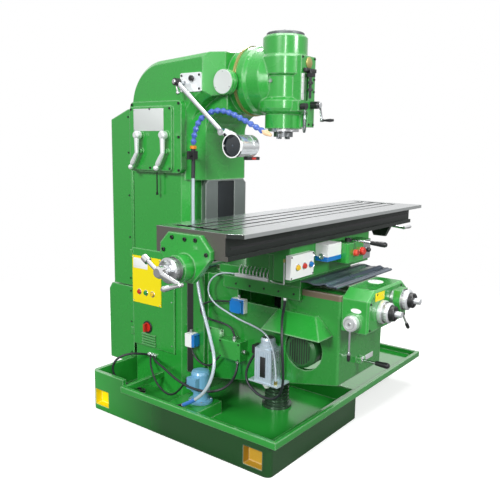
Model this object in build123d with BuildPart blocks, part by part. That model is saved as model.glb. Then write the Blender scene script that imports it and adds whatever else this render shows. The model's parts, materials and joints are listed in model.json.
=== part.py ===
from build123d import *
import math
import os

# A vertical knee-type milling machine, in millimetres.
# X runs along the table to the operator's right, Y from the operator to the column, Z up.
# The spindle axis stands at X = 0, Y = 0, and the floor is Z = 0.

# Slide and fit gaps
SLIDE_GAP = 0.3
RUN_GAP = 0.05

# Base and chip tray
BASE_LEFT, BASE_RIGHT = -500, 262
BASE_FRONT, BASE_BACK = -313, 806
BASE_WALL = 20
BASE_RIM_Z, BASE_REAR_Z = 145, 203
BASIN_Z = 70
TANK_LID_Z = 130
LIFT_POCKET_YS = (-276, 684)
LIFT_POCKET_W, LIFT_POCKET_DEPTH = 98, 40
LIFT_POCKET_Z, LIFT_POCKET_TOP_Z = 26, 108
TRAY_LEFT, TRAY_RIGHT = -515, 945
TRAY_FRONT, TRAY_BACK = -352, 573
TRAY_RAIL = 18
TRAY_TOP_Z = 175
TRAY_SHEET = 4

# Column with its overarm
COLUMN_HALF = 235
COLUMN_FRONT, COLUMN_BACK = 397, 782
OVERARM_FRONT, OVERARM_CORNER = 219, 75
OVERARM_UNDER_Z = 1575
ARCH_R = 188
TOP_FRONT_Z, TOP_BACK_Z = 1768, 1744
WAY_FACE, WAY_ROOT = 340, 397
WAY_HALF, WAY_ROOT_HALF = 158, 122
WAY_BOTTOM_Z, WAY_TOP_Z = 205, 1177
GROOVE_HALF = 66

# Cable glands below the cabinet
GLAND_YS = (618, 640, 662)
GLAND_Z = 247
CABINET_BACK = 205

# Swivelling head
SWIVEL_Z = 1645
SWIVEL_FACE = 164
FLANGE_R = 157
RING_R, RING_W = 161, 14
NOSE_Z = 1388
NOSE_R = 44.45
QUILL_R = 62
QUILL_BOTTOM_Z = 1412
SHAFT_R = 32
HEAD_BOTTOM_Z, HEAD_TOP_Z = 1425, 1835
PAD_FACE = -125
CLAMP_X, CLAMP_Z = -48, 1521

# Knee
KNEE_HALF = 204
KNEE_FRONT, KNEE_BACK = -449, 339.5
KNEE_TOP_Z = 738
KNEE_FRONT_UNDER_Z, KNEE_BACK_UNDER_Z = 345, 190
KNEE_WALL = 22
RAIL_HALF, RAIL_ROOT_HALF = 130, 112
RAIL_TOP_Z = 768
FEED_MOTOR_Y, FEED_MOTOR_Z = -275, 470
SCREW_R = 24
GEARBOX_FACE = -570
GEARBOX_HALF = 190
CROSS_FACE = GEARBOX_FACE - 50

# Saddle
SADDLE_HALF, SADDLE_BLOCK_HALF = 226, 190
SHELF_Z = 748
SADDLE_FRONT, SADDLE_BACK = -262, 220
BED_HALF = 350
BED_FRONT, BED_BACK = -290, 40
BED_TOP_Z = 942.7

# Table
TABLE_LEFT, TABLE_RIGHT = -771, 810
TABLE_FRONT, TABLE_BACK = -294, 47
TABLE_UNDER_Z, TABLE_TOP_Z = 943, 1042
TABLE_LIP = 66
SLOT_YS = (-49, -112, -175)
SLOT_W, SLOT_DEPTH = 18, 20
SLOT_FOOT_W, SLOT_FOOT_H = 30, 13
SCREW_Y, SCREW_Z = -124, 905
LEADSCREW_R = 16

os.makedirs("parts", exist_ok=True)


def span_box(x0, x1, y0, y1, z0, z1, mode=Mode.ADD):
    """A block given by its limits."""
    with Locations(((x0 + x1) / 2, (y0 + y1) / 2, (z0 + z1) / 2)):
        Box(x1 - x0, y1 - y0, z1 - z0, mode=mode)


def rod(start, end, radius, mode=Mode.ADD):
    """A round bar from one point to another."""
    run = Vector(*end) - Vector(*start)
    with Locations(Plane(start, z_dir=run).location):
        Cylinder(radius, run.length, align=(Align.CENTER, Align.CENTER, Align.MIN), mode=mode)


def turned(origin, along, profile, mode=Mode.ADD):
    """A turned piece: (radius, distance) points revolved about a line from origin."""
    across = Plane(origin, z_dir=along).x_dir
    side = Plane(origin, x_dir=across, z_dir=across.cross(Vector(*along)))
    with BuildSketch(side) as half_section:
        with BuildLine():
            Polyline(*profile, close=True)
        make_face()
    revolve(half_section.sketch, axis=Axis(origin, along), mode=mode)


def prism_x(x0, x1, outline, mode=Mode.ADD):
    """A prism along X over a (Y, Z) outline."""
    with BuildSketch(Plane.YZ.offset(x0)) as section:
        with BuildLine():
            Polyline(*outline, close=True)
        make_face()
    extrude(section.sketch, amount=x1 - x0, mode=mode)


def prism_y(y0, y1, outline, mode=Mode.ADD):
    """A prism along Y over an (X, Z) outline."""
    with BuildSketch(Plane.XZ.offset(-y1)) as section:
        with BuildLine():
            Polyline(*outline, close=True)
        make_face()
    extrude(section.sketch, amount=y1 - y0, mode=mode)


def prism_z(z0, z1, outline, mode=Mode.ADD):
    """A prism along Z over an (X, Y) outline."""
    with BuildSketch(Plane.XY.offset(z0)) as section:
        with BuildLine():
            Polyline(*outline, close=True)
        make_face()
    extrude(section.sketch, amount=z1 - z0, mode=mode)


def mirrored(outline):
    """A right-hand outline and its mirror image in X, as one closed outline."""
    return list(outline) + [(-x, v) for x, v in reversed(outline)]


def cord_tube(points, radius):
    """A cord along straight runs joined by tangent arcs."""
    runs = [Vector(*end) - Vector(*start) for start, end in zip(points, points[1:])]
    bends = []
    for first, second in zip(runs, runs[1:]):
        half_turn = math.radians(first.get_angle(second)) / 2
        bends.append(0.45 * min(first.length, second.length) / math.tan(half_turn))
    with BuildLine() as route:
        FilletPolyline(*points, radius=bends)
    with BuildSketch(Plane(route.line @ 0, z_dir=route.line % 0)) as section:
        Circle(radius)
    sweep(section.sketch, path=route.line)
    length = route.wires()[0].length
    print("bend radii", [round(bend) for bend in bends])
    print("length", round(length), "section times length", round(math.pi * radius**2 * length))


def keep(builder, name):
    """Label a finished piece and write it."""
    builder.part.label = name
    export_step(builder.part, f"parts/{name}.step")


# Base: a walled casting with a deep coolant basin, a lidded tank, lifting pockets and an open underside
with BuildPart() as base:
    base_middle = ((BASE_LEFT + BASE_RIGHT) / 2, (BASE_FRONT + BASE_BACK) / 2)
    with BuildSketch(Plane.XY):
        with Locations(base_middle):
            RectangleRounded(BASE_RIGHT - BASE_LEFT, BASE_BACK - BASE_FRONT, 28)
    extrude(amount=BASE_REAR_Z)
    span_box(BASE_LEFT, BASE_RIGHT, BASE_FRONT, TRAY_BACK, BASE_RIM_Z, BASE_REAR_Z, Mode.SUBTRACT)
    span_box(
        BASE_LEFT + BASE_WALL, BASE_RIGHT - BASE_WALL, BASE_FRONT + BASE_WALL, BASE_BACK - BASE_WALL,
        BASIN_Z, BASE_REAR_Z, Mode.SUBTRACT,
    )
    span_box(BASE_LEFT + BASE_WALL, -250, 150, 340, BASIN_Z, TANK_LID_Z)
    rod((-322, 628, BASIN_Z), (-322, 628, BASIN_Z + 16), 16)
    with Locations((*base_middle, 0)):
        with GridLocations(238, 180, 3, 6):
            Box(195, 152, 48, align=(Align.CENTER, Align.CENTER, Align.MIN), mode=Mode.SUBTRACT)
    for pocket_y in LIFT_POCKET_YS:
        pocket_end = pocket_y + LIFT_POCKET_W
        inner_end = BASE_LEFT + LIFT_POCKET_DEPTH
        boss_z, boss_top_z = BASIN_Z - 5, LIFT_POCKET_TOP_Z + 10
        span_box(BASE_LEFT + 5, inner_end + 10, pocket_y - 12, pocket_end + 12, boss_z, boss_top_z)
        span_box(BASE_LEFT, inner_end, pocket_y, pocket_end, LIFT_POCKET_Z, LIFT_POCKET_TOP_Z, Mode.SUBTRACT)
keep(base, "base")

# Chip tray: a railed frame on the base walls, and a railed sheet beside it that reaches out to the right
TRAY_JOINT = BASE_RIGHT - BASE_WALL
with BuildPart() as chip_tray:
    span_box(TRAY_LEFT, TRAY_RIGHT, TRAY_FRONT, TRAY_BACK, BASE_RIM_Z, TRAY_TOP_Z)
    span_box(
        TRAY_LEFT + TRAY_RAIL, TRAY_RIGHT - TRAY_RAIL, TRAY_FRONT + TRAY_RAIL, TRAY_BACK - TRAY_RAIL,
        BASE_RIM_Z + TRAY_SHEET, TRAY_TOP_Z, Mode.SUBTRACT,
    )
    span_box(
        BASE_LEFT + BASE_WALL, BASE_RIGHT - BASE_WALL, BASE_FRONT + BASE_WALL, TRAY_BACK - TRAY_RAIL,
        BASE_RIM_Z, BASE_RIM_Z + TRAY_SHEET, Mode.SUBTRACT,
    )
    span_box(
        -COLUMN_HALF - 3, TRAY_JOINT, TRAY_BACK - TRAY_RAIL, TRAY_BACK, BASE_RIM_Z, TRAY_TOP_Z, Mode.SUBTRACT
    )
    span_box(TRAY_JOINT - SLIDE_GAP, TRAY_JOINT, TRAY_FRONT, TRAY_BACK, BASE_RIM_Z, TRAY_TOP_Z, Mode.SUBTRACT)
keep(chip_tray, "chip_tray")

# Dovetail ways of the column, with clipped top corners and a sunk middle strip
with BuildPart() as ways:
    flank = [(WAY_HALF, WAY_FACE), (WAY_ROOT_HALF, WAY_ROOT), (WAY_ROOT_HALF, WAY_ROOT + 5)]
    prism_z(WAY_BOTTOM_Z, WAY_TOP_Z, mirrored(flank))
    for side in (-1, 1):
        edge_x, clip_x = side * WAY_HALF, side * (WAY_HALF - 22)
        corner = [(edge_x, WAY_TOP_Z - 22), (clip_x, WAY_TOP_Z), (edge_x, WAY_TOP_Z)]
        prism_y(WAY_FACE, WAY_ROOT - 30, corner, Mode.SUBTRACT)
    span_box(-GROOVE_HALF, GROOVE_HALF, WAY_FACE, WAY_FACE + 10, WAY_BOTTOM_Z, WAY_TOP_Z - 8, Mode.SUBTRACT)

# Column: side profile with the rounded back, the overarm and the arch below it
with BuildPart() as column:
    with BuildSketch(Plane.YZ.offset(-COLUMN_HALF)):
        with BuildLine():
            arch_end = (COLUMN_FRONT, OVERARM_UNDER_Z - ARCH_R)
            Line(arch_end, (COLUMN_FRONT, BASIN_Z))
            Line((COLUMN_FRONT, BASIN_Z), (COLUMN_BACK, BASIN_Z))
            Line((COLUMN_BACK, BASIN_Z), (COLUMN_BACK, 1540))
            ThreePointArc((COLUMN_BACK, 1540), (719, 1682), (590, TOP_BACK_Z))
            Line((590, TOP_BACK_Z), (OVERARM_FRONT, TOP_FRONT_Z))
            Line((OVERARM_FRONT, TOP_FRONT_Z), (OVERARM_FRONT, OVERARM_UNDER_Z))
            ThreePointArc((OVERARM_FRONT, OVERARM_UNDER_Z), (COLUMN_FRONT - 50, OVERARM_UNDER_Z - 55), arch_end)
        make_face()
    extrude(amount=2 * COLUMN_HALF)
    chamfer(column.edges().filter_by(lambda edge: abs(edge.center().X) > 234 and edge.center().Z > 1670), 20)
    for side in (-1, 1):
        inner_x, outer_x = side * (COLUMN_HALF - OVERARM_CORNER), side * COLUMN_HALF
        corner = [(inner_x, OVERARM_FRONT), (outer_x, OVERARM_FRONT + OVERARM_CORNER), (outer_x, OVERARM_FRONT)]
        prism_z(1380, TOP_FRONT_Z, corner, Mode.SUBTRACT)
    chamfer(column.edges().filter_by(Axis.Z).group_by(Axis.Y)[2], 32)
    fillet(column.edges().filter_by(Axis.Z).group_by(Axis.Y)[-1], 14)
    # Front block above the ways, with slanted cheeks and its own arch
    prism_z(WAY_TOP_Z, 1500, mirrored([(150, 345), (COLUMN_HALF, 408)]))
    with BuildSketch(Plane.YZ.offset(-150)):
        with BuildLine():
            Polyline((345, 1400), (420, 1400), (420, 1640), (215, 1640), (215, 1497))
            ThreePointArc((215, 1497), (312, 1475), (345, 1400))
        make_face()
    extrude(amount=300)
    # Round neck that carries the head, and the lug for a round cover plate
    rod((0, SWIVEL_FACE + RING_W, SWIVEL_Z), (0, 300, SWIVEL_Z), 150)
    rod((-164, 202, 1630), (-186, 202, 1630), 58)
    add(ways.part)
    # Hollow foot, electrical cabinet, empty middle, gear chamber and hollow overarm, joined by inner openings
    span_box(-205, 205, 430, 752, BASIN_Z, 285, Mode.SUBTRACT)
    span_box(-COLUMN_HALF, CABINET_BACK, 485, 752, 310, 790, Mode.SUBTRACT)
    span_box(-207, 207, 432, 752, 815, 1215, Mode.SUBTRACT)
    span_box(-COLUMN_HALF, 207, 432, 725, 1245, 1515, Mode.SUBTRACT)
    span_box(-200, 200, 300, 660, 1600, 1715, Mode.SUBTRACT)
    span_box(-120, 120, 500, 640, 1200, 1610, Mode.SUBTRACT)
    # Cable gland bosses below the cabinet
    for gland_y in GLAND_YS:
        rod((-COLUMN_HALF, gland_y, GLAND_Z), (-COLUMN_HALF - 14, gland_y, GLAND_Z), 9.5)
keep(column, "column")

# Graduated swivel ring between neck and head
with BuildPart() as swivel_ring:
    turned((0, SWIVEL_FACE, SWIVEL_Z), (0, 1, 0), [(0, 0), (RING_R, 0), (RING_R, RING_W), (0, RING_W)])
keep(swivel_ring, "swivel_ring")

# Speed gearbox cover with a raised plate, bosses and two lever bores
LEVER_YS = {"rear": 655, "front": 478}
LEVER_Z = 1388
COVER_FACE = -282
with BuildPart() as gearbox_cover:
    with BuildSketch(Plane.YZ.offset(-COLUMN_HALF)):
        with Locations((572, 1380)):
            RectangleRounded(350, 340, 26)
    extrude(amount=-33)
    with BuildSketch(Plane.YZ.offset(-COLUMN_HALF - 33)):
        with Locations((592, 1372)):
            RectangleRounded(292, 306, 20)
    extrude(amount=COVER_FACE + COLUMN_HALF + 33)
    for lever_y in LEVER_YS.values():
        rod((COVER_FACE, lever_y, LEVER_Z), (COVER_FACE - 14, lever_y, LEVER_Z), 20)
        rod((COVER_FACE, lever_y - 4, 1312), (COVER_FACE - 16, lever_y - 4, 1312), 13)
        rod((COVER_FACE - 14, lever_y, LEVER_Z), (-COLUMN_HALF, lever_y, LEVER_Z), 9 + RUN_GAP, Mode.SUBTRACT)
keep(gearbox_cover, "gearbox_cover")

# Two cast speed levers hanging from their hubs
for place, lever_y in LEVER_YS.items():
    hub_face = COVER_FACE - 14 - SLIDE_GAP
    with BuildPart() as speed_lever:
        rod((hub_face - 26, lever_y, LEVER_Z), (-COLUMN_HALF, lever_y, LEVER_Z), 9)
        turned((hub_face, lever_y, LEVER_Z), (-1, 0, 0), [(0, 0), (20, 0), (20, 22), (13, 30), (0, 30)])
        shank = [(0, 0), (14, 0), (12, 40), (11, 86), (6, 94), (0, 94)]
        turned((hub_face - 15, lever_y, LEVER_Z), (0, 0, -1), shank)
        toe = [(0, -6), (9, -4), (11, 8), (13, 52), (12, 64), (6, 72), (0, 72)]
        turned((hub_face - 15, lever_y, LEVER_Z - 86), (0, 0.54, -0.84), toe)
    keep(speed_lever, f"speed_lever_{place}")

# Rear covers: an upper one with a sloping top, a deeper lower one, both open towards the column
COVER_SKIN = 6
with BuildPart() as rear_covers:
    upper = [(COLUMN_BACK, 600), (930, 600), (930, 1468), (800, 1518), (COLUMN_BACK, 1518)]
    lower = [(COLUMN_BACK, 207), (810, 207), (810, 168), (974, 168), (974, 560), (950, 594), (COLUMN_BACK, 594)]
    for outline in (upper, lower):
        prism_x(-COLUMN_HALF, COLUMN_HALF, outline)
    inner_upper = [(COLUMN_BACK, 606), (924, 606), (924, 1464), (799, 1512), (COLUMN_BACK, 1512)]
    inner_lower = [(COLUMN_BACK, 213), (816, 213), (816, 174), (968, 174), (968, 558), (947, 588)]
    inner_lower.append((COLUMN_BACK, 588))
    for outline in (inner_upper, inner_lower):
        prism_x(-COLUMN_HALF + COVER_SKIN, COLUMN_HALF - COVER_SKIN, outline, Mode.SUBTRACT)
keep(rear_covers, "rear_covers")

# Main motor bolted to the back of the column, inside the lower cover
with BuildPart() as main_motor:
    shape = [(0, 0), (92, 0), (92, 14), (72, 14), (72, 24), (80, 30), (80, 150), (70, 160), (0, 160)]
    turned((0, COLUMN_BACK, 400), (0, 1, 0), shape)
    span_box(70, 118, COLUMN_BACK + 60, COLUMN_BACK + 130, 370, 430)
keep(main_motor, "main_motor")

# Contactors and fuses on a back plate inside the cabinet
with BuildPart() as contactor_panel:
    span_box(CABINET_BACK - 6, CABINET_BACK, 500, 738, 330, 770)
    for row_z in (400, 520, 640):
        for block_y in (540, 592, 644, 696):
            span_box(CABINET_BACK - 66, CABINET_BACK - 6, block_y - 20, block_y + 20, row_z - 36, row_z + 36)
keep(contactor_panel, "contactor_panel")

# Cabinet door on the left of the column, with louvres, button holes and hinge knuckles at its back edge
DOOR_IN, DOOR_OUT = -COLUMN_HALF - SLIDE_GAP, -COLUMN_HALF - 12
DOOR_FRONT, DOOR_BACK = 468, 772
DOOR_BOTTOM_Z, DOOR_TOP_Z = 290, 812
HINGE_Y = 776
PANEL_FACE = DOOR_OUT - 4
DOOR_BUTTON_YS = {"stop": 716, "start": 667, "jog": 618}
DOOR_BUTTON_Z = 582
SWITCH_Y, SWITCH_Z = 661, 399
with BuildPart() as cabinet_door:
    span_box(DOOR_OUT, DOOR_IN, DOOR_FRONT, DOOR_BACK, DOOR_BOTTOM_Z, DOOR_TOP_Z)
    chamfer(cabinet_door.faces().sort_by(Axis.X)[0].edges(), 3)
    for louvre_z in (326, 340, 354):
        span_box(DOOR_OUT, DOOR_IN, 612, 690, louvre_z, louvre_z + 5, Mode.SUBTRACT)
    for knuckle_z in (340, 760):
        rod((DOOR_OUT - 2, HINGE_Y, knuckle_z), (DOOR_OUT - 2, HINGE_Y, knuckle_z + 40), 8)
    for button_y in DOOR_BUTTON_YS.values():
        rod((DOOR_OUT, button_y, DOOR_BUTTON_Z), (DOOR_IN - 2, button_y, DOOR_BUTTON_Z), 11.4, Mode.SUBTRACT)
    rod((DOOR_OUT, SWITCH_Y, SWITCH_Z), (DOOR_IN - 2, SWITCH_Y, SWITCH_Z), 9 + RUN_GAP, Mode.SUBTRACT)
keep(cabinet_door, "cabinet_door")

# Control plate on the door
with BuildPart() as control_plate:
    span_box(PANEL_FACE, DOOR_OUT, 558, 768, 522, 772)
    for button_y in DOOR_BUTTON_YS.values():
        rod((PANEL_FACE, button_y, DOOR_BUTTON_Z), (DOOR_OUT, button_y, DOOR_BUTTON_Z), 11.4, Mode.SUBTRACT)
keep(control_plate, "control_plate")

# Push buttons of the door, each with a stem in its hole
for use, button_y in DOOR_BUTTON_YS.items():
    with BuildPart() as door_button:
        shape = [(0, -7), (11, -7), (11, 9), (9, 11), (0, 11)]
        turned((PANEL_FACE, button_y, DOOR_BUTTON_Z), (-1, 0, 0), shape)
    keep(door_button, f"{use}_button")

# Rotary main switch
with BuildPart() as main_switch:
    shape = [(0, -9), (9, -9), (9, SLIDE_GAP), (24, SLIDE_GAP), (24, 8), (0, 8)]
    turned((DOOR_OUT, SWITCH_Y, SWITCH_Z), (-1, 0, 0), shape)
    span_box(DOOR_OUT - 30, DOOR_OUT - 8, SWITCH_Y - 6, SWITCH_Y + 6, SWITCH_Z - 21, SWITCH_Z + 21)
keep(main_switch, "main_switch")

# Work lamp: wall plate with a pivot post, a swinging arm and a round head
LAMP_PIVOT = (-285, 408, 1631)
LAMP_ELBOW = (-268, 147, 1404)
LAMP_Y, LAMP_Z = 96, 1344
LAMP_FRONT_X, LAMP_BACK_X = -262, -112
with BuildPart() as lamp_bracket:
    span_box(-COLUMN_HALF - 8, -COLUMN_HALF, 296, 426, 1588, 1674)
    fillet(lamp_bracket.edges().filter_by(Axis.X), 8)
    turned((-COLUMN_HALF - 8, 408, 1631), (-1, 0, 0), [(0, 0), (18, 0), (14, 10), (14, 27), (0, 27)])
    rod((-270, 408, 1631), (-296, 408, 1631), 6)
    turned((-COLUMN_HALF - 8, 350, 1648), (-1, 0, 0), [(0, 0), (13, 0), (13, 12), (9, 16), (0, 16)])
keep(lamp_bracket, "lamp_bracket")

with BuildPart() as lamp_arm:
    rod((-270.3, 408, 1631), (-299, 408, 1631), 17)
    rod(LAMP_PIVOT, LAMP_ELBOW, 11)
    rod((-256, *LAMP_ELBOW[1:]), (-280, *LAMP_ELBOW[1:]), 16)
    rod((-260, 408, 1631), (-296 - RUN_GAP, 408, 1631), 6 + RUN_GAP, Mode.SUBTRACT)
    rod((-250, *LAMP_ELBOW[1:]), (-290, *LAMP_ELBOW[1:]), 6 + RUN_GAP, Mode.SUBTRACT)
keep(lamp_arm, "lamp_arm")

with BuildPart() as lamp_head:
    length = LAMP_BACK_X - LAMP_FRONT_X
    shell = [(0, 12), (49, 12), (49, 0), (54, 0), (54, 12), (50, 16), (50, 96), (48, 98), (48, 102), (50, 104)]
    shell += [(50, length - 10), (42, length), (0, length)]
    turned((LAMP_FRONT_X, LAMP_Y, LAMP_Z), (1, 0, 0), shell)
    prism_x(-255.7, -240, [(158, 1415), (158, 1390), (116, 1375), (88, 1390), (88, 1400), (136, 1420)])
    rod((-245, *LAMP_ELBOW[1:]), (-281, *LAMP_ELBOW[1:]), 6)
keep(lamp_head, "lamp_head")

# Coolant valve held off the slanted cheek of the column
VALVE = Vector(-250, 336, 1297)
CHEEK = Vector(-0.589, -0.808, 0).normalized()
with BuildPart() as coolant_valve:
    with Locations(tuple(VALVE)):
        Box(30, 30, 40)
    cheek_foot = VALVE - CHEEK * (VALVE - Vector(-192.5, 376.5, 1297)).dot(CHEEK)
    rod(tuple(VALVE), tuple(cheek_foot), 8)
    turned(tuple(VALVE + Vector(0, 0, 20)), (0, 0, 1), [(0, 0), (11, 0), (11, 8), (15, 10), (15, 24), (0, 24)])
    rod((-265, 336, 1297), (-281, 336, 1297), 8)
    span_box(-289, -281, 331, 341, 1277, 1317)
keep(coolant_valve, "coolant_valve")

# Segmented coolant hose: ball joints strung on one curve from the valve to the spindle, with a nozzle
HOSE_POINTS = [
    (-250, 336, 1345), (-247, 330, 1400), (-236, 296, 1470), (-206, 214, 1502),
    (-176, 120, 1470), (-154, 56, 1434), (-138, 9, 1408),
]
HOSE_BEADS = 16
with BuildPart() as segmented_hose:
    with BuildLine() as hose_path:
        hose_line = Spline(*HOSE_POINTS)
    with BuildSketch(Plane(hose_line @ 0, z_dir=hose_line % 0)):
        Circle(7)
    sweep(path=hose_line)
    pitch = hose_line.length / HOSE_BEADS
    bead_profile = [(0, 0.08), (9, 0.08), (14, 0.5), (14, 0.6), (10, 0.92), (0, 0.92)]
    bead = [(radius, share * pitch) for radius, share in bead_profile]
    for number in range(HOSE_BEADS):
        share = number / HOSE_BEADS
        turned(tuple(hose_line @ share), tuple(hose_line % (share + 0.5 / HOSE_BEADS)), bead)
    nozzle = [(0, -4), (11, -4), (13, 4), (13, 12), (6, 38), (0, 38)]
    turned(tuple(hose_line @ 1), tuple(hose_line % 1), nozzle)
keep(segmented_hose, "segmented_hose")

# Coolant pump on the tank lid, and the hose elbow beside it
PUMP = (-315, 228)
with BuildPart() as coolant_pump:
    shape = [(0, 0), (58, 0), (58, 10), (40, 14), (34, 50), (46, 56), (46, 142), (40, 154), (20, 160), (0, 160)]
    turned((*PUMP, TANK_LID_Z), (0, 0, 1), shape)
    span_box(PUMP[0] - 66, PUMP[0] - 40, PUMP[1] - 26, PUMP[1] + 30, TANK_LID_Z + 76, TANK_LID_Z + 132)
    rod((-440, 258, TANK_LID_Z), (-440, 258, TANK_LID_Z + 10), 12)
    rod((-440, 260, TANK_LID_Z + 5), (-440, 228, TANK_LID_Z + 21), 9)
keep(coolant_pump, "coolant_pump")

# Elevating sleeve standing on the basin floor, with its thread
with BuildPart() as elevating_sleeve:
    shape = [(SCREW_R + RUN_GAP, 0), (74, 0), (74, 14)]
    for thread in range(9):
        start_z = 16 + 18 * thread
        shape += [(60, start_z), (60, start_z + 9), (53, start_z + 12), (53, start_z + 15)]
    shape += [(46, 184), (46, 350), (SCREW_R + RUN_GAP, 350)]
    turned((0, 0, BASIN_Z), (0, 0, 1), shape)
keep(elevating_sleeve, "elevating_sleeve")

# Head housing: a turned body around the spindle joined to the swivel disc, with a front pad
with BuildPart() as head_housing:
    shape = [
        (0, HEAD_BOTTOM_Z), (86, HEAD_BOTTOM_Z), (86, 1488), (108, 1500), (116, 1514), (116, 1548), (98, 1562),
        (98, 1655), (113, 1664), (113, 1738), (102, 1750), (102, 1826), (93, HEAD_TOP_Z), (0, HEAD_TOP_Z),
    ]
    turned((0, 0, 0), (0, 0, 1), shape)
    disc = [(0, SLIDE_GAP), (FLANGE_R, SLIDE_GAP), (FLANGE_R, 38), (147, 52), (138, 112), (112, 150), (0, 150)]
    turned((0, SWIVEL_FACE, SWIVEL_Z), (0, -1, 0), disc)
    span_box(-54, 62, PAD_FACE, -60, 1500, 1742)
    span_box(-70, 62, PAD_FACE, -60, 1500, 1546)
    span_box(8, 62, PAD_FACE, -60, 1432, 1500)
    span_box(-10, 10, PAD_FACE, -40, 1548, 1672, Mode.SUBTRACT)
    rod((0, 0, HEAD_BOTTOM_Z), (0, 0, HEAD_TOP_Z), QUILL_R + RUN_GAP, Mode.SUBTRACT)
    rod((40, PAD_FACE, 1531), (40, PAD_FACE + 40, 1531), 9 + RUN_GAP, Mode.SUBTRACT)
    rod((CLAMP_X, PAD_FACE, CLAMP_Z), (CLAMP_X, PAD_FACE + 30, CLAMP_Z), 7 + RUN_GAP, Mode.SUBTRACT)
keep(head_housing, "head_housing")

with BuildPart() as head_cap:
    turned((0, 0, HEAD_TOP_Z), (0, 0, 1), [(0, 0), (86, 0), (86, 11), (82, 15), (0, 15)])
keep(head_cap, "head_cap")

with BuildPart() as quill:
    bore = SHAFT_R + RUN_GAP
    collar_top = HEAD_BOTTOM_Z - SLIDE_GAP
    shape = [(bore, QUILL_BOTTOM_Z), (72, QUILL_BOTTOM_Z), (72, collar_top), (QUILL_R, collar_top)]
    shape += [(QUILL_R, 1785), (bore, 1785)]
    turned((0, 0, 0), (0, 0, 1), shape)
keep(quill, "quill")

# Depth stop: an arm from the quill through the head's slot, with a threaded rod and two collars
with BuildPart() as depth_stop:
    span_box(-7, 7, -158, -QUILL_R + 1, 1652, 1664)
    span_box(-26, 7, -160, -140, 1650, 1666)
    rod((-16, -150, 1556), (-16, -150, 1680), 6)
    for collar_z in (1588, 1618):
        rod((-16, -150, collar_z), (-16, -150, collar_z + 11), 12)
keep(depth_stop, "depth_stop")

# Spindle with a steep taper bore and two driving keys
with BuildPart() as spindle:
    flange_top = QUILL_BOTTOM_Z - SLIDE_GAP
    shape = [
        (22.2, NOSE_Z), (NOSE_R, NOSE_Z), (NOSE_R, flange_top), (SHAFT_R, flange_top),
        (SHAFT_R, 1790), (24, 1790), (24, 1828), (8.5, 1828), (8.5, 1480), (12.7, 1453),
    ]
    turned((0, 0, 0), (0, 0, 1), shape)
    for side in (-1, 1):
        span_box(side * 34 - 10, side * 34 + 10, -8, 8, NOSE_Z - 10, NOSE_Z + 6)
keep(spindle, "spindle")

# Quill feed crank: shaft in the pad, hub, arm and handle
with BuildPart() as quill_crank:
    shape = [(0, -36), (9, -36), (9, SLIDE_GAP), (17, SLIDE_GAP), (17, 34), (12, 48), (0, 48)]
    turned((40, PAD_FACE, 1531), (0, -1, 0), shape)
    rod((40, PAD_FACE - 44, 1531), (60, PAD_FACE - 44, 1466), 5)
    turned((60, PAD_FACE - 38, 1464), (0, -1, 0), [(0, 0), (7, 0), (7, 14), (5, 18), (8, 50), (6, 66), (0, 66)])
keep(quill_crank, "quill_crank")

# Quill clamp lever hanging beside the stop
with BuildPart() as quill_clamp_lever:
    shape = [(0, -26), (7, -26), (7, SLIDE_GAP), (14, SLIDE_GAP), (14, 30), (0, 30)]
    turned((CLAMP_X, PAD_FACE, CLAMP_Z), (0, -1, 0), shape)
    shank = [(0, 0), (6, 0), (6, 40), (8, 56), (8, 100), (5, 114), (0, 116)]
    turned((CLAMP_X, PAD_FACE - 20, CLAMP_Z), (0, 0, -1), shank)
keep(quill_clamp_lever, "quill_clamp_lever")

# Knee: a hollow casting that deepens towards the column and wraps its dovetail
LEVER_X, KNEE_LEVER_Z = -25, 418
with BuildPart() as knee:
    side_view = [
        (KNEE_FRONT, KNEE_FRONT_UNDER_Z), (KNEE_FRONT, KNEE_TOP_Z), (KNEE_BACK, KNEE_TOP_Z),
        (KNEE_BACK, KNEE_BACK_UNDER_Z),
    ]
    prism_x(-KNEE_HALF, KNEE_HALF, side_view)
    fillet(knee.edges().filter_by(Axis.Z).group_by(Axis.Y)[0], 10)
    span_box(-232, 232, 280, 394, 215, KNEE_TOP_Z)
    flare = (WAY_HALF - WAY_ROOT_HALF) / (WAY_ROOT - WAY_FACE)
    slack = SLIDE_GAP + 0.1
    dovetail = [(WAY_HALF + slack + 0.5 * flare, KNEE_BACK), (WAY_ROOT_HALF + slack, WAY_ROOT)]
    prism_z(150, KNEE_TOP_Z, mirrored(dovetail), Mode.SUBTRACT)
    inner = KNEE_HALF - KNEE_WALL
    span_box(-inner, inner, KNEE_FRONT + KNEE_WALL, 312, 150, 705, Mode.SUBTRACT)
    span_box(-30, -10, KNEE_FRONT + KNEE_WALL, -140, 380, 705)
    rod((-KNEE_HALF, FEED_MOTOR_Y, FEED_MOTOR_Z), (-inner, FEED_MOTOR_Y, FEED_MOTOR_Z), 94, Mode.SUBTRACT)
    span_box(-KNEE_HALF, -inner, -150, 95, 630, 692, Mode.SUBTRACT)
    rail = [(RAIL_HALF, RAIL_TOP_Z), (RAIL_ROOT_HALF, KNEE_TOP_Z)]
    prism_y(KNEE_FRONT, 300, mirrored(rail))
    # Ears for the front lever
    for ear_x in (LEVER_X - 22, LEVER_X + 14):
        span_box(ear_x, ear_x + 8, KNEE_FRONT - 26, KNEE_FRONT, KNEE_LEVER_Z - 13, KNEE_LEVER_Z + 13)
    ear_pin = KNEE_FRONT - 14
    pin_start, pin_end = (LEVER_X - 40, ear_pin, KNEE_LEVER_Z), (LEVER_X + 40, ear_pin, KNEE_LEVER_Z)
    rod(pin_start, pin_end, 5 + RUN_GAP, Mode.SUBTRACT)
keep(knee, "knee")

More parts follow.
